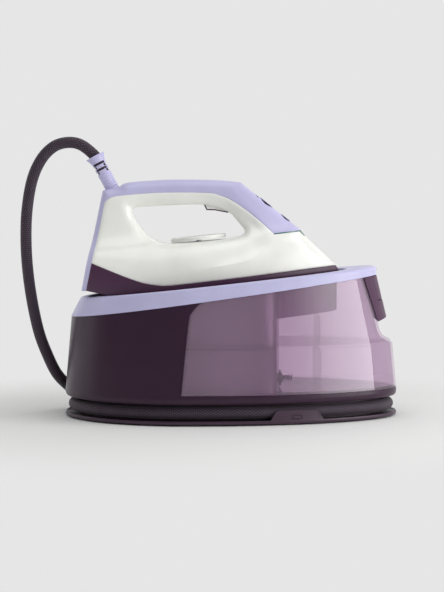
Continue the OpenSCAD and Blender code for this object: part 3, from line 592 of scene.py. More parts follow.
def egg_ring(z0, slope=0.0, g=0.0):
    """Outline of the station on the plane z = z0 + slope * x, drawn in by g."""
    t = np.arange(RING_N) / RING_N * TAU

    def at(z):
        return EGG_X + (np.where(np.cos(t) < 0, rear_a(z), nose_a(z)) - g) * np.cos(t)

    z1 = z0 + slope * at(np.full(RING_N, z0))
    x = at(z1)
    return np.column_stack([x, (side_b(z1) - g) * np.sin(t), z0 + slope * x])


def plain_ring(rear, front, half, z0, slope):
    t = np.arange(RING_N) / RING_N * TAU
    x = EGG_X + np.where(np.cos(t) < 0, rear, front) * np.cos(t)
    return np.column_stack([x, half * np.sin(t), z0 + slope * x])


def foot_ring(z, g):
    return plain_ring(rear_a(FOOT_Z) - g, nose_a(FOOT_Z) - g, side_b(FOOT_Z) - g, z, 0)


def egg_body(z0, z1, slope, g):
    return loft([egg_ring(z0, 0, g), egg_ring(z1, slope, g)])


def behind_tank(g):
    """Everything behind the tank's rear edge, as a prism."""
    line = smooth([(-50.3 - g, STRIP_TOP), (-43.2 - g, 100.9), (-39.5 - g, 113), (-30.5 - g, 122),
                   (-16 - g, 126.5)], 8)
    outline = [(-STATION_L, 0), (-50.3 - g, 0)] + line.tolist() + [(-16 - g, 200), (-STATION_L, 200)]
    return prism(outline, -STATION_W, STATION_W)


def rounded_plan(centre, w, h, r, k=10):
    """A rectangle with round corners, as a list of 2-D points."""
    out = []
    for q in range(4):
        cx = (w / 2 - r) * (1 if q in (0, 3) else -1)
        cy = (h / 2 - r) * (1 if q in (0, 1) else -1)
        for i in range(k + 1):
            a = (q + i / k) * TAU / 4
            out.append((centre[0] + cx + r * math.cos(a), centre[1] + cy + r * math.sin(a)))
    return out


CORE_FRONT = node_box("tank_seal")[0][0] + 2.6
CORE_HALF = node_box("core_cover")[1][1]


def core_plan(g, low=-1, high=300):
    """The upright core between the tank's arms, drawn out by g."""
    return prism(rounded_plan((CORE_FRONT / 2 - 60, 0), CORE_FRONT + 120 + 2 * g,
                              2 * (CORE_HALF + g), 18 + g), low, high, "z")


def casing(z, g, top):
    """The casing under the deck that reaches forward over the tank."""
    return loft([plain_ring(60 + g, 154 + g, 56 + g, z - g, PLATFORM_RISE),
                 plain_ring(60 + g, 154 + g, 56 + g, top, RIM_SLOPE)])


def block(low, high):
    (x0, y0, z0), (x1, y1, z1) = low, high
    return prism([(x0, y0), (x1, y0), (x1, y1), (x0, y1)], z0, z1, "z")


def station_housing():
    foot = 6.0
    fillet = [egg_ring(BASE_Z + foot * (1 - math.cos(a)), 0, foot * 0.6 * (1 - math.sin(a)))
              for a in np.linspace(0, TAU / 4, 8)]
    # the foot's fillet runs from flat to upright
    body = loft(fillet + [egg_ring(RIM_LOW_Z - GAP, RIM_SLOPE)])
    hollow = egg_body(BASE_Z + WALL, RIM_LOW_Z + 5, RIM_SLOPE, WALL)
    front = minus(block((-STATION_L, -STATION_W, STRIP_TOP), (STATION_L, STATION_W, 260)),
                  behind_tank(0))
    bay_low, bay_high = node_box("cord_bay")
    bay_mid = ((bay_low + bay_high) / 2)
    window = prism(rounded_plan((bay_mid[0], bay_mid[2]), bay_high[0] - bay_low[0] + 2 * GAP,
                                bay_high[2] - bay_low[2] + 2 * GAP, 8), 60, 120)
    body = minus(body, hollow, front, window)
    knob_low, knob_high = node_box("descaling_knob")
    knob = (knob_low + knob_high) / 2
    out = np.array([knob[0] - EGG_X, knob[1] * 1.6, 0])
    body = minus(body, cylinder(knob, out, 8.4, -16, 16))
    place(soft_edges(body, 0.5), "housing_shell", "station", "dark_plastic", "station_housing")


def platform_rim():
    """Lilac rim with rounded edges; its inside wall runs down to the deck."""
    outside = [egg_ring(RIM_LOW_Z, RIM_SLOPE), egg_ring(RIM_LOW_Z + 1.5, RIM_SLOPE, 0.2),
               plain_ring(116.1, 195.5, 88.8, PLATFORM_Z - 3, PLATFORM_RISE),
               plain_ring(114.3, 192.4, 87.7, PLATFORM_Z - 0.9, PLATFORM_RISE),
               plain_ring(111.9, 187.6, 85.2, PLATFORM_Z, PLATFORM_RISE),
               plain_ring(107.4, 164, 80.7, PLATFORM_Z - 0.6, PLATFORM_RISE)]
    curved = smooth(np.stack(outside).reshape(len(outside), -1), 5).reshape(-1, RING_N, 3)
    rings = list(curved) + [plain_ring(107.4, 164, 80.7, RIM_LOW_Z, RIM_SLOPE)]
    place(shade(band(rings), 40), "rim_ring", "station", "lilac_plastic", "platform_rim")


def tank_form(g, make):
    """The tank's form drawn in by g, cut from the body that make() gives."""
    reach = 36 + g
    outline = ([(STATION_L, 78.6)]
               + (smooth([(170, 78.7), (160, 82.9), (154, 90.5), (151.5, 99.8)], 8) - g).tolist()
               + [(136 - g, 146), (STATION_L, 190)])
    body = minus(make(), behind_tank(-g - GAP), core_plan(1 + g))
    return minus(body, prism(outline, -reach, reach))


def water_tank():
    lower = tank_form(0, lambda: egg_body(TANK_Z, SEAM_Z, 0, 0))
    hollow = tank_form(TANK_WALL, lambda: egg_body(TANK_Z + TANK_WALL, SEAM_Z + 1, 0, TANK_WALL))
    valve_low, valve_high = node_box("tank_valve")
    valve = (valve_low + valve_high) / 2
    minus(lower, hollow, cylinder((CORE_FRONT, valve[1], valve[2]), (1, 0, 0), 5.1, -2, 8))
    place(soft_edges(lower, 0.25, 2), "tank_bottom_shell", "tank", "tank_plastic", "tank_lower")
    ledge = 1.5
    upper = tank_form(0, lambda: egg_body(SEAM_Z + 0.2, RIM_LOW_Z - GAP, RIM_SLOPE, ledge))
    hollow = tank_form(TANK_WALL, lambda: egg_body(SEAM_Z + 0.2 + TANK_WALL, RIM_LOW_Z + GAP,
                                                   RIM_SLOPE, ledge + TANK_WALL))
    minus(upper, hollow, casing(98.5, 1, 210), cylinder((66, 66, SEAM_Z), (0, 0, 1), 15, -3, 5))
    place(soft_edges(upper, 0.25, 2), "tank_top_shell", "tank", "tank_plastic", "tank_upper")


def nose_skin(g0, g1, top):
    body = egg_body(SEAM_Z + 1, RIM_LOW_Z - top, RIM_SLOPE, g0)
    return minus(body, egg_body(SEAM_Z, RIM_LOW_Z + 1, RIM_SLOPE, g1))


def tank_grip():
    button_low = node_box("release_button")[0]
    half = node_box("release_button")[1][1]
    outline = [(152.2, 99.8), (168, 105), (168, 160), (136.9, 160), (136.9, 146)]
    grip_half = node_box("tank_grip")[1][1]
    grip = common(egg_body(SEAM_Z + 1, RIM_LOW_Z - GAP, RIM_SLOPE, 0),
                  prism(outline, -grip_half, grip_half))
    seen_gap = 0.9
    pocket = common(nose_skin(-2, 10, -4), block((0, -half - seen_gap, button_low[2] - seen_gap),
                                                 (STATION_L, half + seen_gap, 200)))
    place(soft_edges(minus(grip, pocket), 0.9), "grip_block", "tank", "grip_plastic", "tank_grip")
    button = common(nose_skin(0.2, 4, 1), block((0, -half, button_low[2]), (STATION_L, half, 200)))
    place(soft_edges(button, 0.7), "release_cap", "release", "grip_plastic", "release_button")


# --- tray and hose ---

HOSE_R = 6.0
HOSE_INSET = 9.2
HOSE_Z = 12.6
LIP_TOP = 5.2


def hose_tray():
    """Dish with a rolled lip, the foot's wall, and a clip on the near side that holds the hose."""
    inner = HOSE_INSET + HOSE_R + 0.8
    profile = ([(1.5, 1.2), (1.8, 0.5), (2.5, 0.05), (4.4, 0), (5.0, 0.35), (LIP_TOP, 1.2),
                (5.0, 2.05), (4.4, 2.4), (4.0, 3.0), (4.0, inner), (BASE_Z, inner),
                (BASE_Z, inner + WALL), (4.0, inner + WALL)])
    tray = band([foot_ring(z, g) for z, g in profile])
    # the floor inside the foot's wall closes the dish
    floor = loft([foot_ring(1.6, 2.5), foot_ring(3.9, 2.5)])
    joined(tray, floor)
    for (x, y) in [(-135, 42), (-135, -42), (105, 48), (105, -48)]:
        minus(tray, cylinder((x, y, 0), (0, 0, 1), 10.2, -1, 2.3))
    clip = minus(loft([foot_ring(1.6, 0.1), foot_ring(16, 0.1)]),
                 loft([foot_ring(0, 2.3), foot_ring(17, 2.3)]))
    outline = [(37, 1.5), (44, 13), (46, 14.6), (48.5, 15), (83.5, 15), (86, 14.6), (88, 13), (95, 1.5)]
    common(clip, prism(outline, -STATION_W, -10))
    joined(tray, clip)
    # a plain raised loop marks the clip
    pill = [prism(rounded_plan((66, 8.2), 11 - 2 * g, 4.6 - 2 * g, 2.2 - g), -STATION_W, -10)
            for g in (0, 0.9)]
    mark = common(minus(*pill), minus(loft([foot_ring(1.6, -0.25), foot_ring(16, -0.25)]),
                                      loft([foot_ring(0, 1.2), foot_ring(17, 1.2)])))
    place(shade(mark, 40), "clip_mark", "station", "dark_plastic")
    place(soft_edges(tray, 0.4, 2), "tray_dish", "station", "tray_plastic", "hose_tray")


def channel(t):
    a = rear_a(FOOT_Z) if math.cos(t) < 0 else nose_a(FOOT_Z)
    return [EGG_X + (a - HOSE_INSET) * math.cos(t), (side_b(FOOT_Z) - HOSE_INSET) * math.sin(t), HOSE_Z]


def steam_hose():
    foot = np.array([-124.5, 0, 237.6])
    end = np.array([-142.2, 0, 271.0])
    along = (end - foot) / np.linalg.norm(end - foot)
    loop = [foot + 3 * along, foot + 15 * along, foot + 27 * along, end, (-156.5, 0, 282.6),
            (-170.5, 0, 285.4), (-185.5, 0, 281), (-198.7, 0, 267.6), (-208.5, 1, 246),
            (-214.1, 2, 215.1), (-215.5, 3, 184.2), (-214.1, 4, 153.2), (-209.9, 6, 119.5),
            (-203.2, 10, 85.7), (-194.8, 17, 60.4), (-186.4, 26, 40.7), (-176, 37, 27),
            (-163.5, 46, 16.5), (-151.5, 54.5, 12.9)]
    wrap = [channel(math.radians(t)) for t in range(136, 172 - 361, -6)]
    tail = [(-158.5, 13.5, HOSE_Z), (-150, 11.5, HOSE_Z), (-141, 9, HOSE_Z)]
    path = resample(smooth(loop + wrap + tail, 12), 0.9)

    def strands(run, angle):
        wave = np.sin(9 * angle + run / 0.75) * np.sin(9 * angle - run / 0.75)
        return 0.07 * wave - 0.09

    hose = moved(sweep(path, HOSE_R, 40, "braided_hose", strands), TO_FRAME)
    shade(hose, 80)
    dress(hose, "hose_braid")
    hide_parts("steam_hose")
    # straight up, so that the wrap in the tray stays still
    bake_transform(hose)


# --- the iron, in its own frame: x from the heel along the soleplate, z square to it ---

IRON_X = -155.2
IRON_TO_WORLD = (Matrix.Translation((0, 0, PLATFORM_Z * MM)) @ Matrix.Rotation(-PLATFORM_TILT, 4, "Y")
                 @ Matrix.Translation((IRON_X * MM, 0, -SOLE_DROP * MM)))
IRON_L = 269.8
WIDEST_X = 94.8
SOLE_HALF = node_box("heat_skirt")[1][1]
HEEL_FOOT = (0, 12.8)
HEEL_TOP = (31.9, 113.5)
SLOPE_TOP = (175.6, 107.2)
SLOPE_FOOT = (232, 52.5)
SLOPE_TURN = math.atan2(SLOPE_TOP[1] - SLOPE_FOOT[1], SLOPE_FOOT[0] - SLOPE_TOP[0])
SKIRT_HEEL = (6.6, 12.6)
SKIRT_LOW = 4

TOP_LINE = smooth([HEEL_TOP, (36, 114.7), (48, 115.4), (58, 119.2), (84, 118.7), (108.8, 117.2),
                   (150.6, 112.1), SLOPE_TOP], 5)
COVER_EDGE = np.vstack([[(6, 12.8), (14.4, 39.3)],
                        smooth([(32.4, 98.8), (35.1, 102.9), (42, 105.8), (59.6, 106.4), (96, 104.7),
                                (139.3, 99.8), (153.5, 95.4), (167.3, 87.3), (187.3, 69.1),
                                (203.7, 51.2)], 6)])
SKIRT_EDGE = smooth([(15.4, 40.3), (59.2, 17.8), (81.4, 10.9), (92, 9.7), (104, 9.6),
                     (130, 9.7), (225.9, 10.4), (266, 10.4)], 6)
SILHOUETTE = np.vstack([[HEEL_FOOT], TOP_LINE, [SLOPE_FOOT, (237.5, 44.3), (266, 10.4),
                        (IRON_L, SKIRT_LOW), (36, SKIRT_LOW), SKIRT_HEEL]])
OPENING = smooth([(60.1, 88.4), (64.3, 92.4), (85, 91.6), (107, 90.4), (136.3, 87.4), (160.3, 76.2),
                  (172.1, 61.7), (174.8, 56.2), (171, 52), (154.6, 50.2), (125, 50.6), (95.5, 51.8),
                  (83.9, 54.8), (73, 63.4), (64.5, 76)], 6, closed=True)
COVER = np.vstack([[HEEL_FOOT], TOP_LINE, [SLOPE_FOOT, (233, 50.9), (204.3, 50.8)], COVER_EDGE[::-1]])
# The skirt's outline reaches under the cover's edge, which is its rear limit
SKIRT = np.vstack([[SKIRT_HEEL, (4, 13), (12, 39.8)], SKIRT_EDGE, [(IRON_L, SKIRT_LOW), (36, SKIRT_LOW)]])
# Lower rear corner of the cover's flat front facet, and the facet's turn per millimetre
FACET_REAR = (166, 100.5)
FACET_FOOT = (204, 51.5)
FACET_TURN = 0.33
LIGHT = np.array([(204.3, 50.8), (233, 50.9), (237.4, 44.3), (236.2, 44.2), (231.6, 49.6), (204.4, 49.5)])
# Crease between the scooped cheek and the nose
CREASE = smooth([(203.9, 50.4), (201.2, 41.8), (193, 34.5), (182.6, 29.3), (172.1, 26.1),
                 (150, 24), (128, 23)], 8)

SECTION = smooth([(57, -5), (57, 8), (55.5, 20), (50, 34), (40, 48), (28, 58), (20.5, 70), (18.5, 85),
                  (17.5, 100), (16.5, 112), (15.5, 122)], 6)
HEEL_PLAN = smooth([(0, 29), (3, 38), (12, 45), (35, 51.5), (60, 55.5), (WIDEST_X, SOLE_HALF)], 6)


def front_x(z):
    """Place of the silhouette's front edge at height z."""
    return np.interp(z, [SKIRT_LOW, 10.4, 44.3, SLOPE_FOOT[1], SLOPE_TOP[1]],
                     [IRON_L, 266, 237.5, SLOPE_FOOT[0], SLOPE_TOP[0]])


def nose_share(u):
    """Share of the full width left at u, from 0 at the widest place to 1 at the front edge."""
    long, half = IRON_L - WIDEST_X, SOLE_HALF
    r = (long * long + half * half) / (2 * half)
    return (np.sqrt(np.maximum(r * r - (u * long) ** 2, 0)) - (r - half)) / half


def half_width(x, z):
    """Half of the iron's width at a place on its side, before the edges are rounded."""
    level = np.interp(z, SECTION[:, 1], SECTION[:, 0])
    u = np.clip((x - WIDEST_X) / (front_x(z) - WIDEST_X), 0, 1)
    edge = np.interp(z, [4, 12, 40, 52, 80, 110], [0.6, 3.0, 9.0, 13.5, 15.0, 15.5])
    edge = np.minimum(edge, level)
    nose = edge + (level - edge) * nose_share(u)
    heel = np.interp(x, HEEL_PLAN[:, 0], HEEL_PLAN[:, 1])
    k = 5.0
    w = -k * np.log(np.exp(-nose / k) + np.exp(-heel / k))
    return np.maximum(w + k * math.log(1 + math.exp(-abs(12) / k)), 0.3)


def beside(p, a, b):
    """Signed distance of 2-D points to the line from a to b, positive on its left."""
    (ax, az), (bx, bz) = a, b
    long = math.hypot(bx - ax, bz - az)
    return ((bx - ax) * (p[:, 1] - az) - (bz - az) * (p[:, 0] - ax)) / long


def quarter_round(distance, radius):
    """Depth lost at a distance from an edge that is rounded to a radius."""
    left = np.clip(radius - distance, 0, radius)
    return radius - np.sqrt(radius ** 2 - left ** 2)


def side_depth(p):
    """Distance of the iron's skin from its middle plane, at 2-D places on its side."""
    x, z = p[:, 0], p[:, 1]
    w = half_width(x, z)
    outer = to_polyline(p, SILHOUETTE, True)
    hole = to_polyline(p, OPENING, True)
    ahead = beside(p, FACET_REAR, FACET_FOOT)
    front = np.minimum(ahead, -3 * beside(p, FACET_REAR, SLOPE_TOP)) * ease(z, 51, 60)
    front = np.maximum(front, 0)
    r_out = np.minimum(1.4 + 8.6 * ease(z, 10, 26) - 4.5 * ease(front, 0, 8), 0.85 * w)
    # the handle turns under more softly than the rest of the opening
    r_hole = np.minimum(9 + 5 * ease(z, 88, 97), 0.8 * w)
    # two soft facets along the top of the handle, in place of one even round
    planes = 0.75 * np.maximum(6.5 - outer, 0) + 2.5 * np.maximum(1.9 - outer, 0)
    handle = 0.6 * ease(z, 98, 106) * ease(x, 40, 60) * (1 - ease(x, 160, 172))
    top = (1 - handle) * quarter_round(outer, r_out) + handle * np.minimum(planes, 0.85 * w)
    behind = np.vstack([CREASE, [(90, 30), (60, 60), (60, 108)], COVER_EDGE[-34:]])
    within = inside(p, behind)
    near = to_polyline(p[within], CREASE)
    under_cover = ease(to_polyline(p[within], COVER_EDGE), 0, 9)
    scoop = np.zeros(len(p))
    scoop[within] = 3.4 * (1 - np.clip(1 - near / 9, 0, 1) ** 2) * under_cover
    scoop *= ease(x, 112, 168) * ease(np.hypot(x - CREASE[0, 0], z - CREASE[0, 1]), 1, 26)
    groove = np.zeros(len(p))
    for line in (COVER_EDGE, SKIRT_EDGE, LIGHT[[0, 1]], LIGHT[[5, 4, 3]]):
        groove = np.maximum(groove, 0.55 * (1 - ease(to_polyline(p, line), 0.0, 0.75)))
    lost = top + quarter_round(hole, r_hole) + scoop + groove + FACET_TURN * front
    return np.maximum(w - lost, 0.15)


def side_mesh():
    """Triangles over the iron's side, with every seam as a line of edges."""
    lines = [(evenly(SILHOUETTE, 1.6, True), True), (evenly(OPENING, 1.4, True), True),
             (evenly(COVER_EDGE, 1.5), False), (evenly(SKIRT_EDGE, 1.5), False),
             (evenly(LIGHT, 1.5, True), True), (evenly(CREASE, 1.5), False),
             (evenly([(14.4, 39.3), (15.4, 40.3)], 1.0), False)]
    points, edges = [], []
    for line, closed in lines:
        start = len(points)
        points.extend(line.tolist())
        n = len(line)
        edges.extend((start + i, start + (i + 1) % n) for i in range(n if closed else n - 1))
    taken = np.array(points)
    rows = []
    turns = [15, 30, 45, 60, 75, 90]
    for line, closed, radius, sign in ((lines[0][0], True, 10.0, 1), (lines[1][0], True, 9.0, -1)):
        ahead = np.roll(line, -1, axis=0) - np.roll(line, 1, axis=0)
        normal = np.column_stack([ahead[:, 1], -ahead[:, 0]])
        normal /= np.maximum(np.linalg.norm(normal, axis=1)[:, None], 1e-9)
        for a in turns:
            off = radius * (1 - math.cos(math.radians(a)))
            for s in (1, -1):
                row = line + s * off * normal
                row = row[to_polyline(row, line, True) > off * 0.97]
                rows.append(row)
    for line in (lines[2][0], lines[3][0], lines[5][0]):
        ahead = np.gradient(line, axis=0)
        normal = np.column_stack([ahead[:, 1], -ahead[:, 0]])
        normal /= np.maximum(np.linalg.norm(normal, axis=1)[:, None], 1e-9)
        for off in (0.4, 0.8, 1.8, 3.2):
            for s in (1, -1):
                row = line + s * off * normal
                rows.append(row[to_polyline(row, line) > off * 0.97])
    gx, gz = np.meshgrid(np.arange(1, IRON_L, 2.4), np.arange(SKIRT_LOW + 1, 121, 2.1))
    rows.append(np.column_stack([(gx + (np.arange(gz.shape[0]) % 2)[:, None] * 1.2).ravel(), gz.ravel()]))
    cell = 0.9
    used = set((round(x / 0.28), round(z / 0.28)) for x, z in taken)
    coarse = set((round(x / cell), round(z / cell)) for x, z in taken)
    fresh = []
    for n, row in enumerate(rows):
        keep = row[inside(row, SILHOUETTE) & ~inside(row, OPENING)]
        last = n == len(rows) - 1
        for x, z in keep:
            key, big = (round(x / 0.28), round(z / 0.28)), (round(x / cell), round(z / cell))
            near = any((big[0] + i, big[1] + j) in coarse for i in (-1, 0, 1) for j in (-1, 0, 1))
            if key in used or (last and near):
                continue
            used.add(key)
            coarse.add(big)
            fresh.append((x, z))
    # rows stay off the seams, so that a seam's own points make its edges
    fresh = np.array(fresh)
    clear = to_polyline(fresh, lines[0][0], True) > 0.3
    clear &= to_polyline(fresh, lines[1][0], True) > 0.3
    for i in (2, 3, 4, 5):
        clear &= to_polyline(fresh, lines[i][0], lines[i][1]) > 0.3
    points.extend(fresh[clear].tolist())
    out = delaunay_2d_cdt([Vector(p) for p in points], edges, [], 0, 1e-5)
    verts = np.array([tuple(v) for v in out[0]])
    tris = np.array([f for f in out[2]])
    mid = verts[tris].mean(axis=1)
    keep = inside(mid, SILHOUETTE) & ~inside(mid, OPENING)
    return verts, tris[keep], mid[keep]


def iron_shells():
    verts, tris, mid = side_mesh()
    y = side_depth(verts)
    in_cover, in_skirt, in_light = inside(mid, COVER), inside(mid, SKIRT), inside(mid, LIGHT)
    parts = {
        "cover_shell": (in_cover, "lilac_plastic", "handle_cover"),
        "skirt_shell": (in_skirt & ~in_cover, "plum_plastic", "heat_skirt"),
        "light_bar": (in_light & ~in_cover & ~in_skirt, "light_pipe", "indicator_light"),
        "body_shell": (~in_cover & ~in_skirt & ~in_light, "white_plastic", "iron_body"),
    }
    rim_outer = to_polyline(verts, SILHOUETTE, True) < 0.05
    rim_hole = to_polyline(verts, OPENING, True) < 0.05
    under = (verts[:, 1] < SKIRT_LOW + 0.05)
    shells = {}
    for name, (mask, slot_name, node) in parts.items():
        t = tris[mask]
        used = np.unique(t)
        index = {v: i for i, v in enumerate(used)}
        n = len(used)
        near = np.column_stack([verts[used, 0], -y[used], verts[used, 1]])
        far = near * [1, -1, 1]
        faces = [tuple(index[v] for v in f) for f in t]
        faces += [tuple(n + index[v] for v in reversed(f)) for f in t]
        count = {}
        for f in t:
            for a, b in ((f[0], f[1]), (f[1], f[2]), (f[2], f[0])):
                key = (min(a, b), max(a, b))
                count[key] = count.get(key, 0) + 1
        for (a, b), c in count.items():
            on_rim = (rim_outer[a] and rim_outer[b]) or (rim_hole[a] and rim_hole[b])
            if c == 1 and on_rim and not (under[a] and under[b]):
                faces.append((index[a], index[b], n + index[b], n + index[a]))
        obj = new_object(name, np.vstack([near, far]), faces)
        solid = obj.modifiers.new("wall", "SOLIDIFY")
        solid.thickness = 1.6 * MM
        solid.offset = -1
        solid.use_even_offset = False
        settle(obj)
        even = obj.modifiers.new("even_shading", "WEIGHTED_NORMAL")
        even.keep_sharp = True
        shells[name] = (obj, slot_name, node)
    return shells


def on_slope(at):
    """Matrix in metres that stands a piece on the cover's sloping front, in the iron's frame."""
    return Matrix.Translation((at[0] * MM, 0, at[1] * MM)) @ Matrix.Rotation(SLOPE_TURN, 4, "Y")


POWER_AT, POWER_R = (200.2, 83.34), 8.6
BOOST_AT, BOOST_R = (218.9, 65.2), 6.0


def button_shade_ring(name, at, radius):
    """Dark ring that frames a push button in the cover: painted shade for the gap and shadow round the
    button.
    """
    wide = 0.5
    profile = [(radius + 0.08, -4), (radius + wide, -4), (radius + wide, 0.12), (radius + 0.3, 0.2),
               (radius + 0.08, 0.12)]
    ring = moved(lathe(profile, 96, name), IRON_TO_WORLD @ on_slope(at))
    place(shade(ring, 50), name, "iron", "dark_plastic")


def slope_marks():
    """Three plain dots beside the upper button, in place of any printed mark."""
    marks = None
    for along, side in ((-14.5, -5.5), (-12.5, -7), (-10.5, -8.2)):
        dot = lathe([(0, -1.5), (0.75, -1.5), (0.75, 0.1), (0.55, 0.2), (0, 0.2)], 24, "dot")
        at = (POWER_AT[0] + along * math.cos(SLOPE_TURN), POWER_AT[1] - along * math.sin(SLOPE_TURN))
        moved(dot, on_slope(at) @ Matrix.Translation((0, side * MM, -0.35 * MM)))
        marks = joined(marks, dot) if marks else dot
    place(moved(marks, IRON_TO_WORLD), "slope_marks", "iron", "plum_plastic")


def press_button(name, at, radius, body, node):
    """Round push button with a dished top."""
    profile = [(0, -5), (radius, -5), (radius, 0.1), (radius - 0.25, 0.6), (radius - 0.9, 0.85),
               (radius * 0.75, 0.55), (radius * 0.4, 0.2), (0, 0.1)]
    button = moved(lathe(profile, 96, name), IRON_TO_WORLD @ on_slope(at))
    place(shade(button, 50), name, body, "lilac_plastic", node)


def the_iron():
    shells = iron_shells()
    cover = shells["cover_shell"][0]
    for at, radius in ((POWER_AT, POWER_R), (BOOST_AT, BOOST_R)):
        bore = radius + 0.55
        tool = lathe([(0, -10), (bore, -10), (bore, 10), (0, 10)], 96, "tool")
        minus(cover, moved(tool, on_slope(at)))
    body = shells["body_shell"][0]
    slot_outline = [(132, 97), (132, 84), (137, 79), (165, 71.5), (166.5, 90), (160, 97)]
    minus(body, prism(slot_outline, -9.8, 9.8))
    for name, (obj, slot_name, node) in shells.items():
        moved(obj, IRON_TO_WORLD)
        place(shade(obj, 38), name, "iron", slot_name, node)
    press_button("power_cap", POWER_AT, POWER_R, "power", "power_button")
    press_button("boost_cap", BOOST_AT, BOOST_R, "boost", "boost_button")
    # dark rings of painted shade round the two buttons
    button_shade_ring("power_shade_ring", POWER_AT, POWER_R)
    button_shade_ring("boost_shade_ring", BOOST_AT, BOOST_R)
    slope_marks()


def trigger_axle():
    """Pin of the steam trigger; its ends stay inside the body's walls."""
    low, high = node_box("trigger_pin")
    half = 12.6
    pin = cylinder((low + high) / 2, (0, 1, 0), (high[0] - low[0]) / 2, -half, half)
    place(soft_edges(pin, 0.2, 2), "trigger_axle", "iron", "stainless", "trigger_pin")


def trigger_shade_strip():
    """Dark strip along the trigger's lower edge: painted shade under the lever."""
    outer = [(135.4, 88.6), (137.5, 82.0), (146.3, 80.8), (159.5, 76.8), (161.5, 78.3)]
    inner = [(161.0, 79.3), (159.4, 78.1), (146.4, 82.0), (138.4, 83.1), (136.6, 88.9)]
    half = node_box("steam_trigger")[1][1] + 0.15
    strip = moved(prism(outer + inner, -half, half), IRON_TO_WORLD)
    place(shade(strip), "trigger_painted_shade", "trigger", "plum_plastic")


def coil_spring(name, radius, wire, height, turns, stand, body, node):
    """Steel coil along its stand's Z."""
    t = np.linspace(0, 1, turns * 24 + 1)
    path = np.column_stack([radius * np.cos(TAU * turns * t), radius * np.sin(TAU * turns * t),
                            wire + (height - 2 * wire) * t])
    spring = moved(sweep(path, wire, 10, name), stand)
    place(shade(spring, 60), name, body, "stainless", node)
    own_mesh(spring)


def springs():
    under = IRON_TO_WORLD @ Matrix.Translation((150.5 * MM, 0, 87.9 * MM))
    coil_spring("trigger_coil", 3, 0.5, 9.9, 5, under, "iron", "trigger_spring")
    low, high = node_box("release_spring")
    at = Vector((low[0], 0, (low[2] + high[2]) / 2)) * MM
    behind = Matrix.Translation(at) @ Matrix.Rotation(TAU / 4, 4, "Y")
    coil_spring("release_coil", 3.2, 0.4, high[0] - low[0], 3, behind, "tank", "release_spring")


DIAL_AT = (126, 52.2)


def temperature_dial():
    """Flat dial with a ribbed edge and a pointer mark."""
    r, h, ribs, n = 29.0, 3.9, 90, 720
    rings = []
    for radius, z, wave in ((r - 0.5, 0, 0), (r, 0.5, 1), (r, h - 0.9, 1), (r - 0.6, h - 0.1, 0.3),
                            (r - 1.2, h, 0), (r - 6, h, 0), (r - 7, h - 0.5, 0), (2, h - 0.5, 0)):
        a = np.arange(n) / n * TAU
        rr = radius - 0.12 * wave * (0.5 + 0.5 * np.cos(ribs * a))
        rings.append(np.column_stack([rr * np.cos(a), rr * np.sin(a), np.full(n, z)]))
    dial = loft(rings, "dial")
    stand = IRON_TO_WORLD @ Matrix.Translation((DIAL_AT[0] * MM, 0, DIAL_AT[1] * MM))
    place(shade(moved(dial, stand), 30), "dial_disc", "dial", "dial_plastic", "temperature_dial")
    # a plain bar on the flat ring shows how far the dial is turned
    pointer = moved(block((-27, -0.8, h - 0.6), (-23.6, 0.8, h + 0.15)), stand)
    place(shade(pointer), "dial_pointer", "dial", "plum_plastic")


def bend_guard():
    """Flexible guard: a flared mouth, staggered slots under it, then shallow ribs down to its foot."""
    bore = HOSE_R + 0.15
    ribs = [(7.05 + 0.3 * math.cos(TAU * (z - 2) / 3.2), z) for z in np.arange(-1, 15.1, 0.4)]
    neck = smooth([(bore + 1.05, 17), (bore + 1.0, 24), (bore + 1.1, 29), (bore + 1.7, 32),
                   (bore + 3, 35.6), (10.7, 37.8)], 6).tolist()
    profile = [(bore, -5), (7.3, -5)] + ribs + neck + [(bore + 2.8, 37.8), (bore, 27)]
    guard = lathe(profile, 128, "guard")
    for i, z in enumerate((27.6, 24.6, 21.6, 18.6)):
        # long slots face the two sides; the short ones between them face front and rear
        middle = -90 if i % 2 == 0 else 0
        for half_turn in (0, 180):
            spread = 58 if i % 2 == 0 else 56
            a = np.radians(np.linspace(middle - spread, middle + spread, 24) + half_turn)
            ring = np.concatenate([np.column_stack([5.2 * np.cos(a), 5.2 * np.sin(a)]),
                                   np.column_stack([14 * np.cos(a[::-1]), 14 * np.sin(a[::-1])])])
            minus(guard, prism(ring, z, z + 2.5, "z"))
    turn = math.radians(-27.9)
    moved(guard, Matrix.Translation((-124.5 * MM, 0, 237.6 * MM)) @ Matrix.Rotation(turn, 4, "Y"))
    place(shade(guard, 50), "hose_guard", "iron", "lilac_plastic", "bend_guard")


# --- the CAD nodes that stay ---

def carried_over():
    slots = {p["node"]: p["material_slot"] for p in frame["record"]["subparts"]}
    for node, obj in frame["nodes"].items():
        if obj.hide_render:
            continue
        # the core's cover is seen through the tank and is paler than the housing
        dress(obj, "core_plastic" if node == "core_cover" else slots[node])
        m = obj.modifiers.new("edges", "BEVEL")
        m.width = 0.25 * MM
        m.segments = 2
        m.limit_method = "ANGLE"
        m.angle_limit = math.radians(40)


# --- stage, lights and camera ---

PAPER_RGB = (230, 230, 230)


def stage():
    back, rise = 1600, 1500
    profile = [(-3000, 0), (back, 0)]
    profile += [(back + rise * math.sin(a), rise * (1 - math.cos(a)))
                for a in np.linspace(0.1, TAU / 4, 16)]
    profile += [(back + rise, 6000)]
    width = 6000
    verts = [(x, y, z) for x in (-width, width) for y, z in profile]
    n = len(profile)
    faces = [(i, i + 1, n + i + 1, n + i) for i in range(n - 1)]
    floor = new_object("backdrop", verts, faces)
    shade(floor, 60)
    floor.data.materials.append(paper())


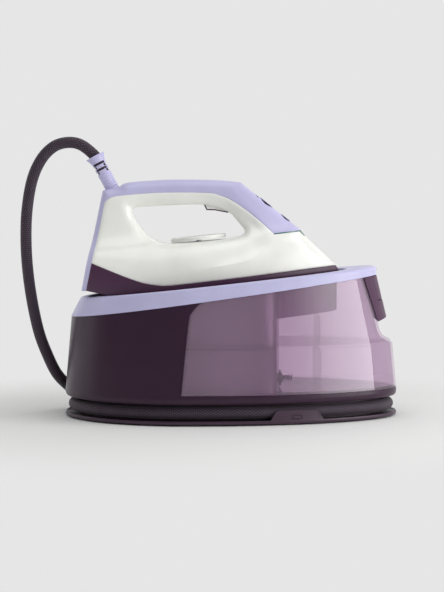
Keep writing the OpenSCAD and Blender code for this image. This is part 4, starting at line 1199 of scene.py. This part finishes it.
def paper():
    """Pale studio paper: it takes the object's shadow near the origin and is even further out."""
    s = Shader("paper")
    lit = s.add("ShaderNodeBsdfDiffuse")
    s.link(s.tint(s.spread(s.noise(300, 2), 0, 1), linear((229, 229, 228)), linear((231, 231, 230))),
           lit.inputs["Color"])
    even = s.add("ShaderNodeEmission")
    even.inputs["Color"].default_value = linear(PAPER_RGB)
    away = s.add("ShaderNodeVectorMath")
    away.operation = "LENGTH"
    s.link(s.coord.outputs["Object"], away.inputs[0])
    far = s.add("ShaderNodeMapRange")
    far.interpolation_type = "SMOOTHSTEP"
    far.inputs["From Min"].default_value = 0.21
    far.inputs["From Max"].default_value = 0.46
    s.link(away.outputs["Value"], far.inputs["Value"])
    mix = s.add("ShaderNodeMixShader")
    s.link(far.outputs["Result"], mix.inputs["Fac"])
    s.link(lit.outputs[0], mix.inputs[1])
    s.link(even.outputs[0], mix.inputs[2])
    s.link(mix.outputs[0], s.out.inputs["Surface"])
    return s.material


def area(name, place_mm, target_mm, size, radiance, fade=None):
    """A soft panel of a given radiance; fade gives its share at each end of its width."""
    light = bpy.data.lights.new(name, "AREA")
    light.shape = "RECTANGLE"
    light.size, light.size_y = (s * MM for s in size)
    light.energy = radiance * math.pi * size[0] * size[1] * MM * MM
    if fade:
        light.use_nodes = True
        tree = light.node_tree
        place_on = tree.nodes.new("ShaderNodeNewGeometry")
        split = tree.nodes.new("ShaderNodeSeparateXYZ")
        tree.links.new(place_on.outputs["Parametric"], split.inputs[0])
        ramp = tree.nodes.new("ShaderNodeValToRGB")
        ramp.color_ramp.interpolation = "EASE"
        while len(ramp.color_ramp.elements) < len(fade):
            ramp.color_ramp.elements.new(0.5)
        for element, (at, share) in zip(ramp.color_ramp.elements, fade):
            element.position = at
            element.color = (share, share, share, 1)
        tree.links.new(split.outputs["X"], ramp.inputs["Fac"])
        emission = next(n for n in tree.nodes if n.type == "EMISSION")
        tree.links.new(ramp.outputs["Color"], emission.inputs["Strength"])
    obj = bpy.data.objects.new(name, light)
    obj.location = TO_FRAME @ (Vector(place_mm) * MM)
    aim = (Vector(target_mm) - Vector(place_mm)) * MM
    obj.rotation_euler = aim.to_track_quat("-Z", "Y").to_euler()
    bpy.context.scene.collection.objects.link(obj)


def studio():
    world = bpy.data.worlds.new("studio")
    bpy.context.scene.world = world
    world.use_nodes = True
    tree = world.node_tree
    background = tree.nodes["Background"]
    path = tree.nodes.new("ShaderNodeLightPath")
    # reflections see a dim studio with a pale wall to the right and behind
    coord = tree.nodes.new("ShaderNodeTexCoord")
    toward = tree.nodes.new("ShaderNodeVectorMath")
    toward.operation = "DOT_PRODUCT"
    toward.inputs[1].default_value = (0.8, 0.6, 0)
    tree.links.new(coord.outputs["Generated"], toward.inputs[0])
    seen = tree.nodes.new("ShaderNodeMapRange")
    for socket, value in (("From Min", 0.6), ("From Max", 0.85), ("To Min", 0.18), ("To Max", 0.8)):
        seen.inputs[socket].default_value = value
    tree.links.new(toward.outputs["Value"], seen.inputs["Value"])
    level = tree.nodes.new("ShaderNodeMapRange")
    level.inputs["To Min"].default_value = 0.46
    tree.links.new(seen.outputs["Result"], level.inputs["To Max"])
    tree.links.new(path.outputs["Is Glossy Ray"], level.inputs["Value"])
    background.inputs["Color"].default_value = (1, 1, 1, 1)
    # past the paper's edges the camera sees the paper's own tone
    shown = tree.nodes.new("ShaderNodeMapRange")
    shown.inputs["To Max"].default_value = linear(PAPER_RGB)[0]
    tree.links.new(path.outputs["Is Camera Ray"], shown.inputs["Value"])
    tree.links.new(level.outputs["Result"], shown.inputs["To Min"])
    tree.links.new(shown.outputs["Result"], background.inputs["Strength"])
    area("overhead", (100, -150, 1500), (0, 0, 80), (1500, 1100), 1.35)
    # its bright end lies beside the nose and it fades towards the camera
    area("nose_panel", (900, -790, 400), (0, -790, 400), (1380, 820), 4.2, [(0.0, 0.05), (1.0, 1.0)])
    # a narrow band behind the heel, soft at both ends
    area("heel_panel", (-1000, 90, 300), (0, 90, 300), (560, 800), 0.8,
         [(0.0, 0.0), (0.5, 1.0), (1.0, 0.0)])


def camera():
    data = bpy.data.cameras.new("camera")
    data.lens = 101.35
    data.clip_end = 50
    cam = bpy.data.objects.new("camera", data)
    eye = Vector((-9.45, -1750, 220)) * MM
    cam.location = TO_FRAME @ eye
    aim = Vector((-9.45, 0, 124.5)) * MM - eye
    cam.rotation_euler = aim.to_track_quat("-Z", "Y").to_euler()
    bpy.context.scene.collection.objects.link(cam)
    bpy.context.scene.camera = cam


station_housing()
platform_rim()
water_tank()
tank_grip()
hose_tray()
steam_hose()
the_iron()
trigger_axle()
# a dark strip of painted shade under the trigger
trigger_shade_strip()
springs()
temperature_dial()
bend_guard()
carried_over()
stage()
studio()
camera()
bpy.context.scene.view_settings.view_transform = "Standard"
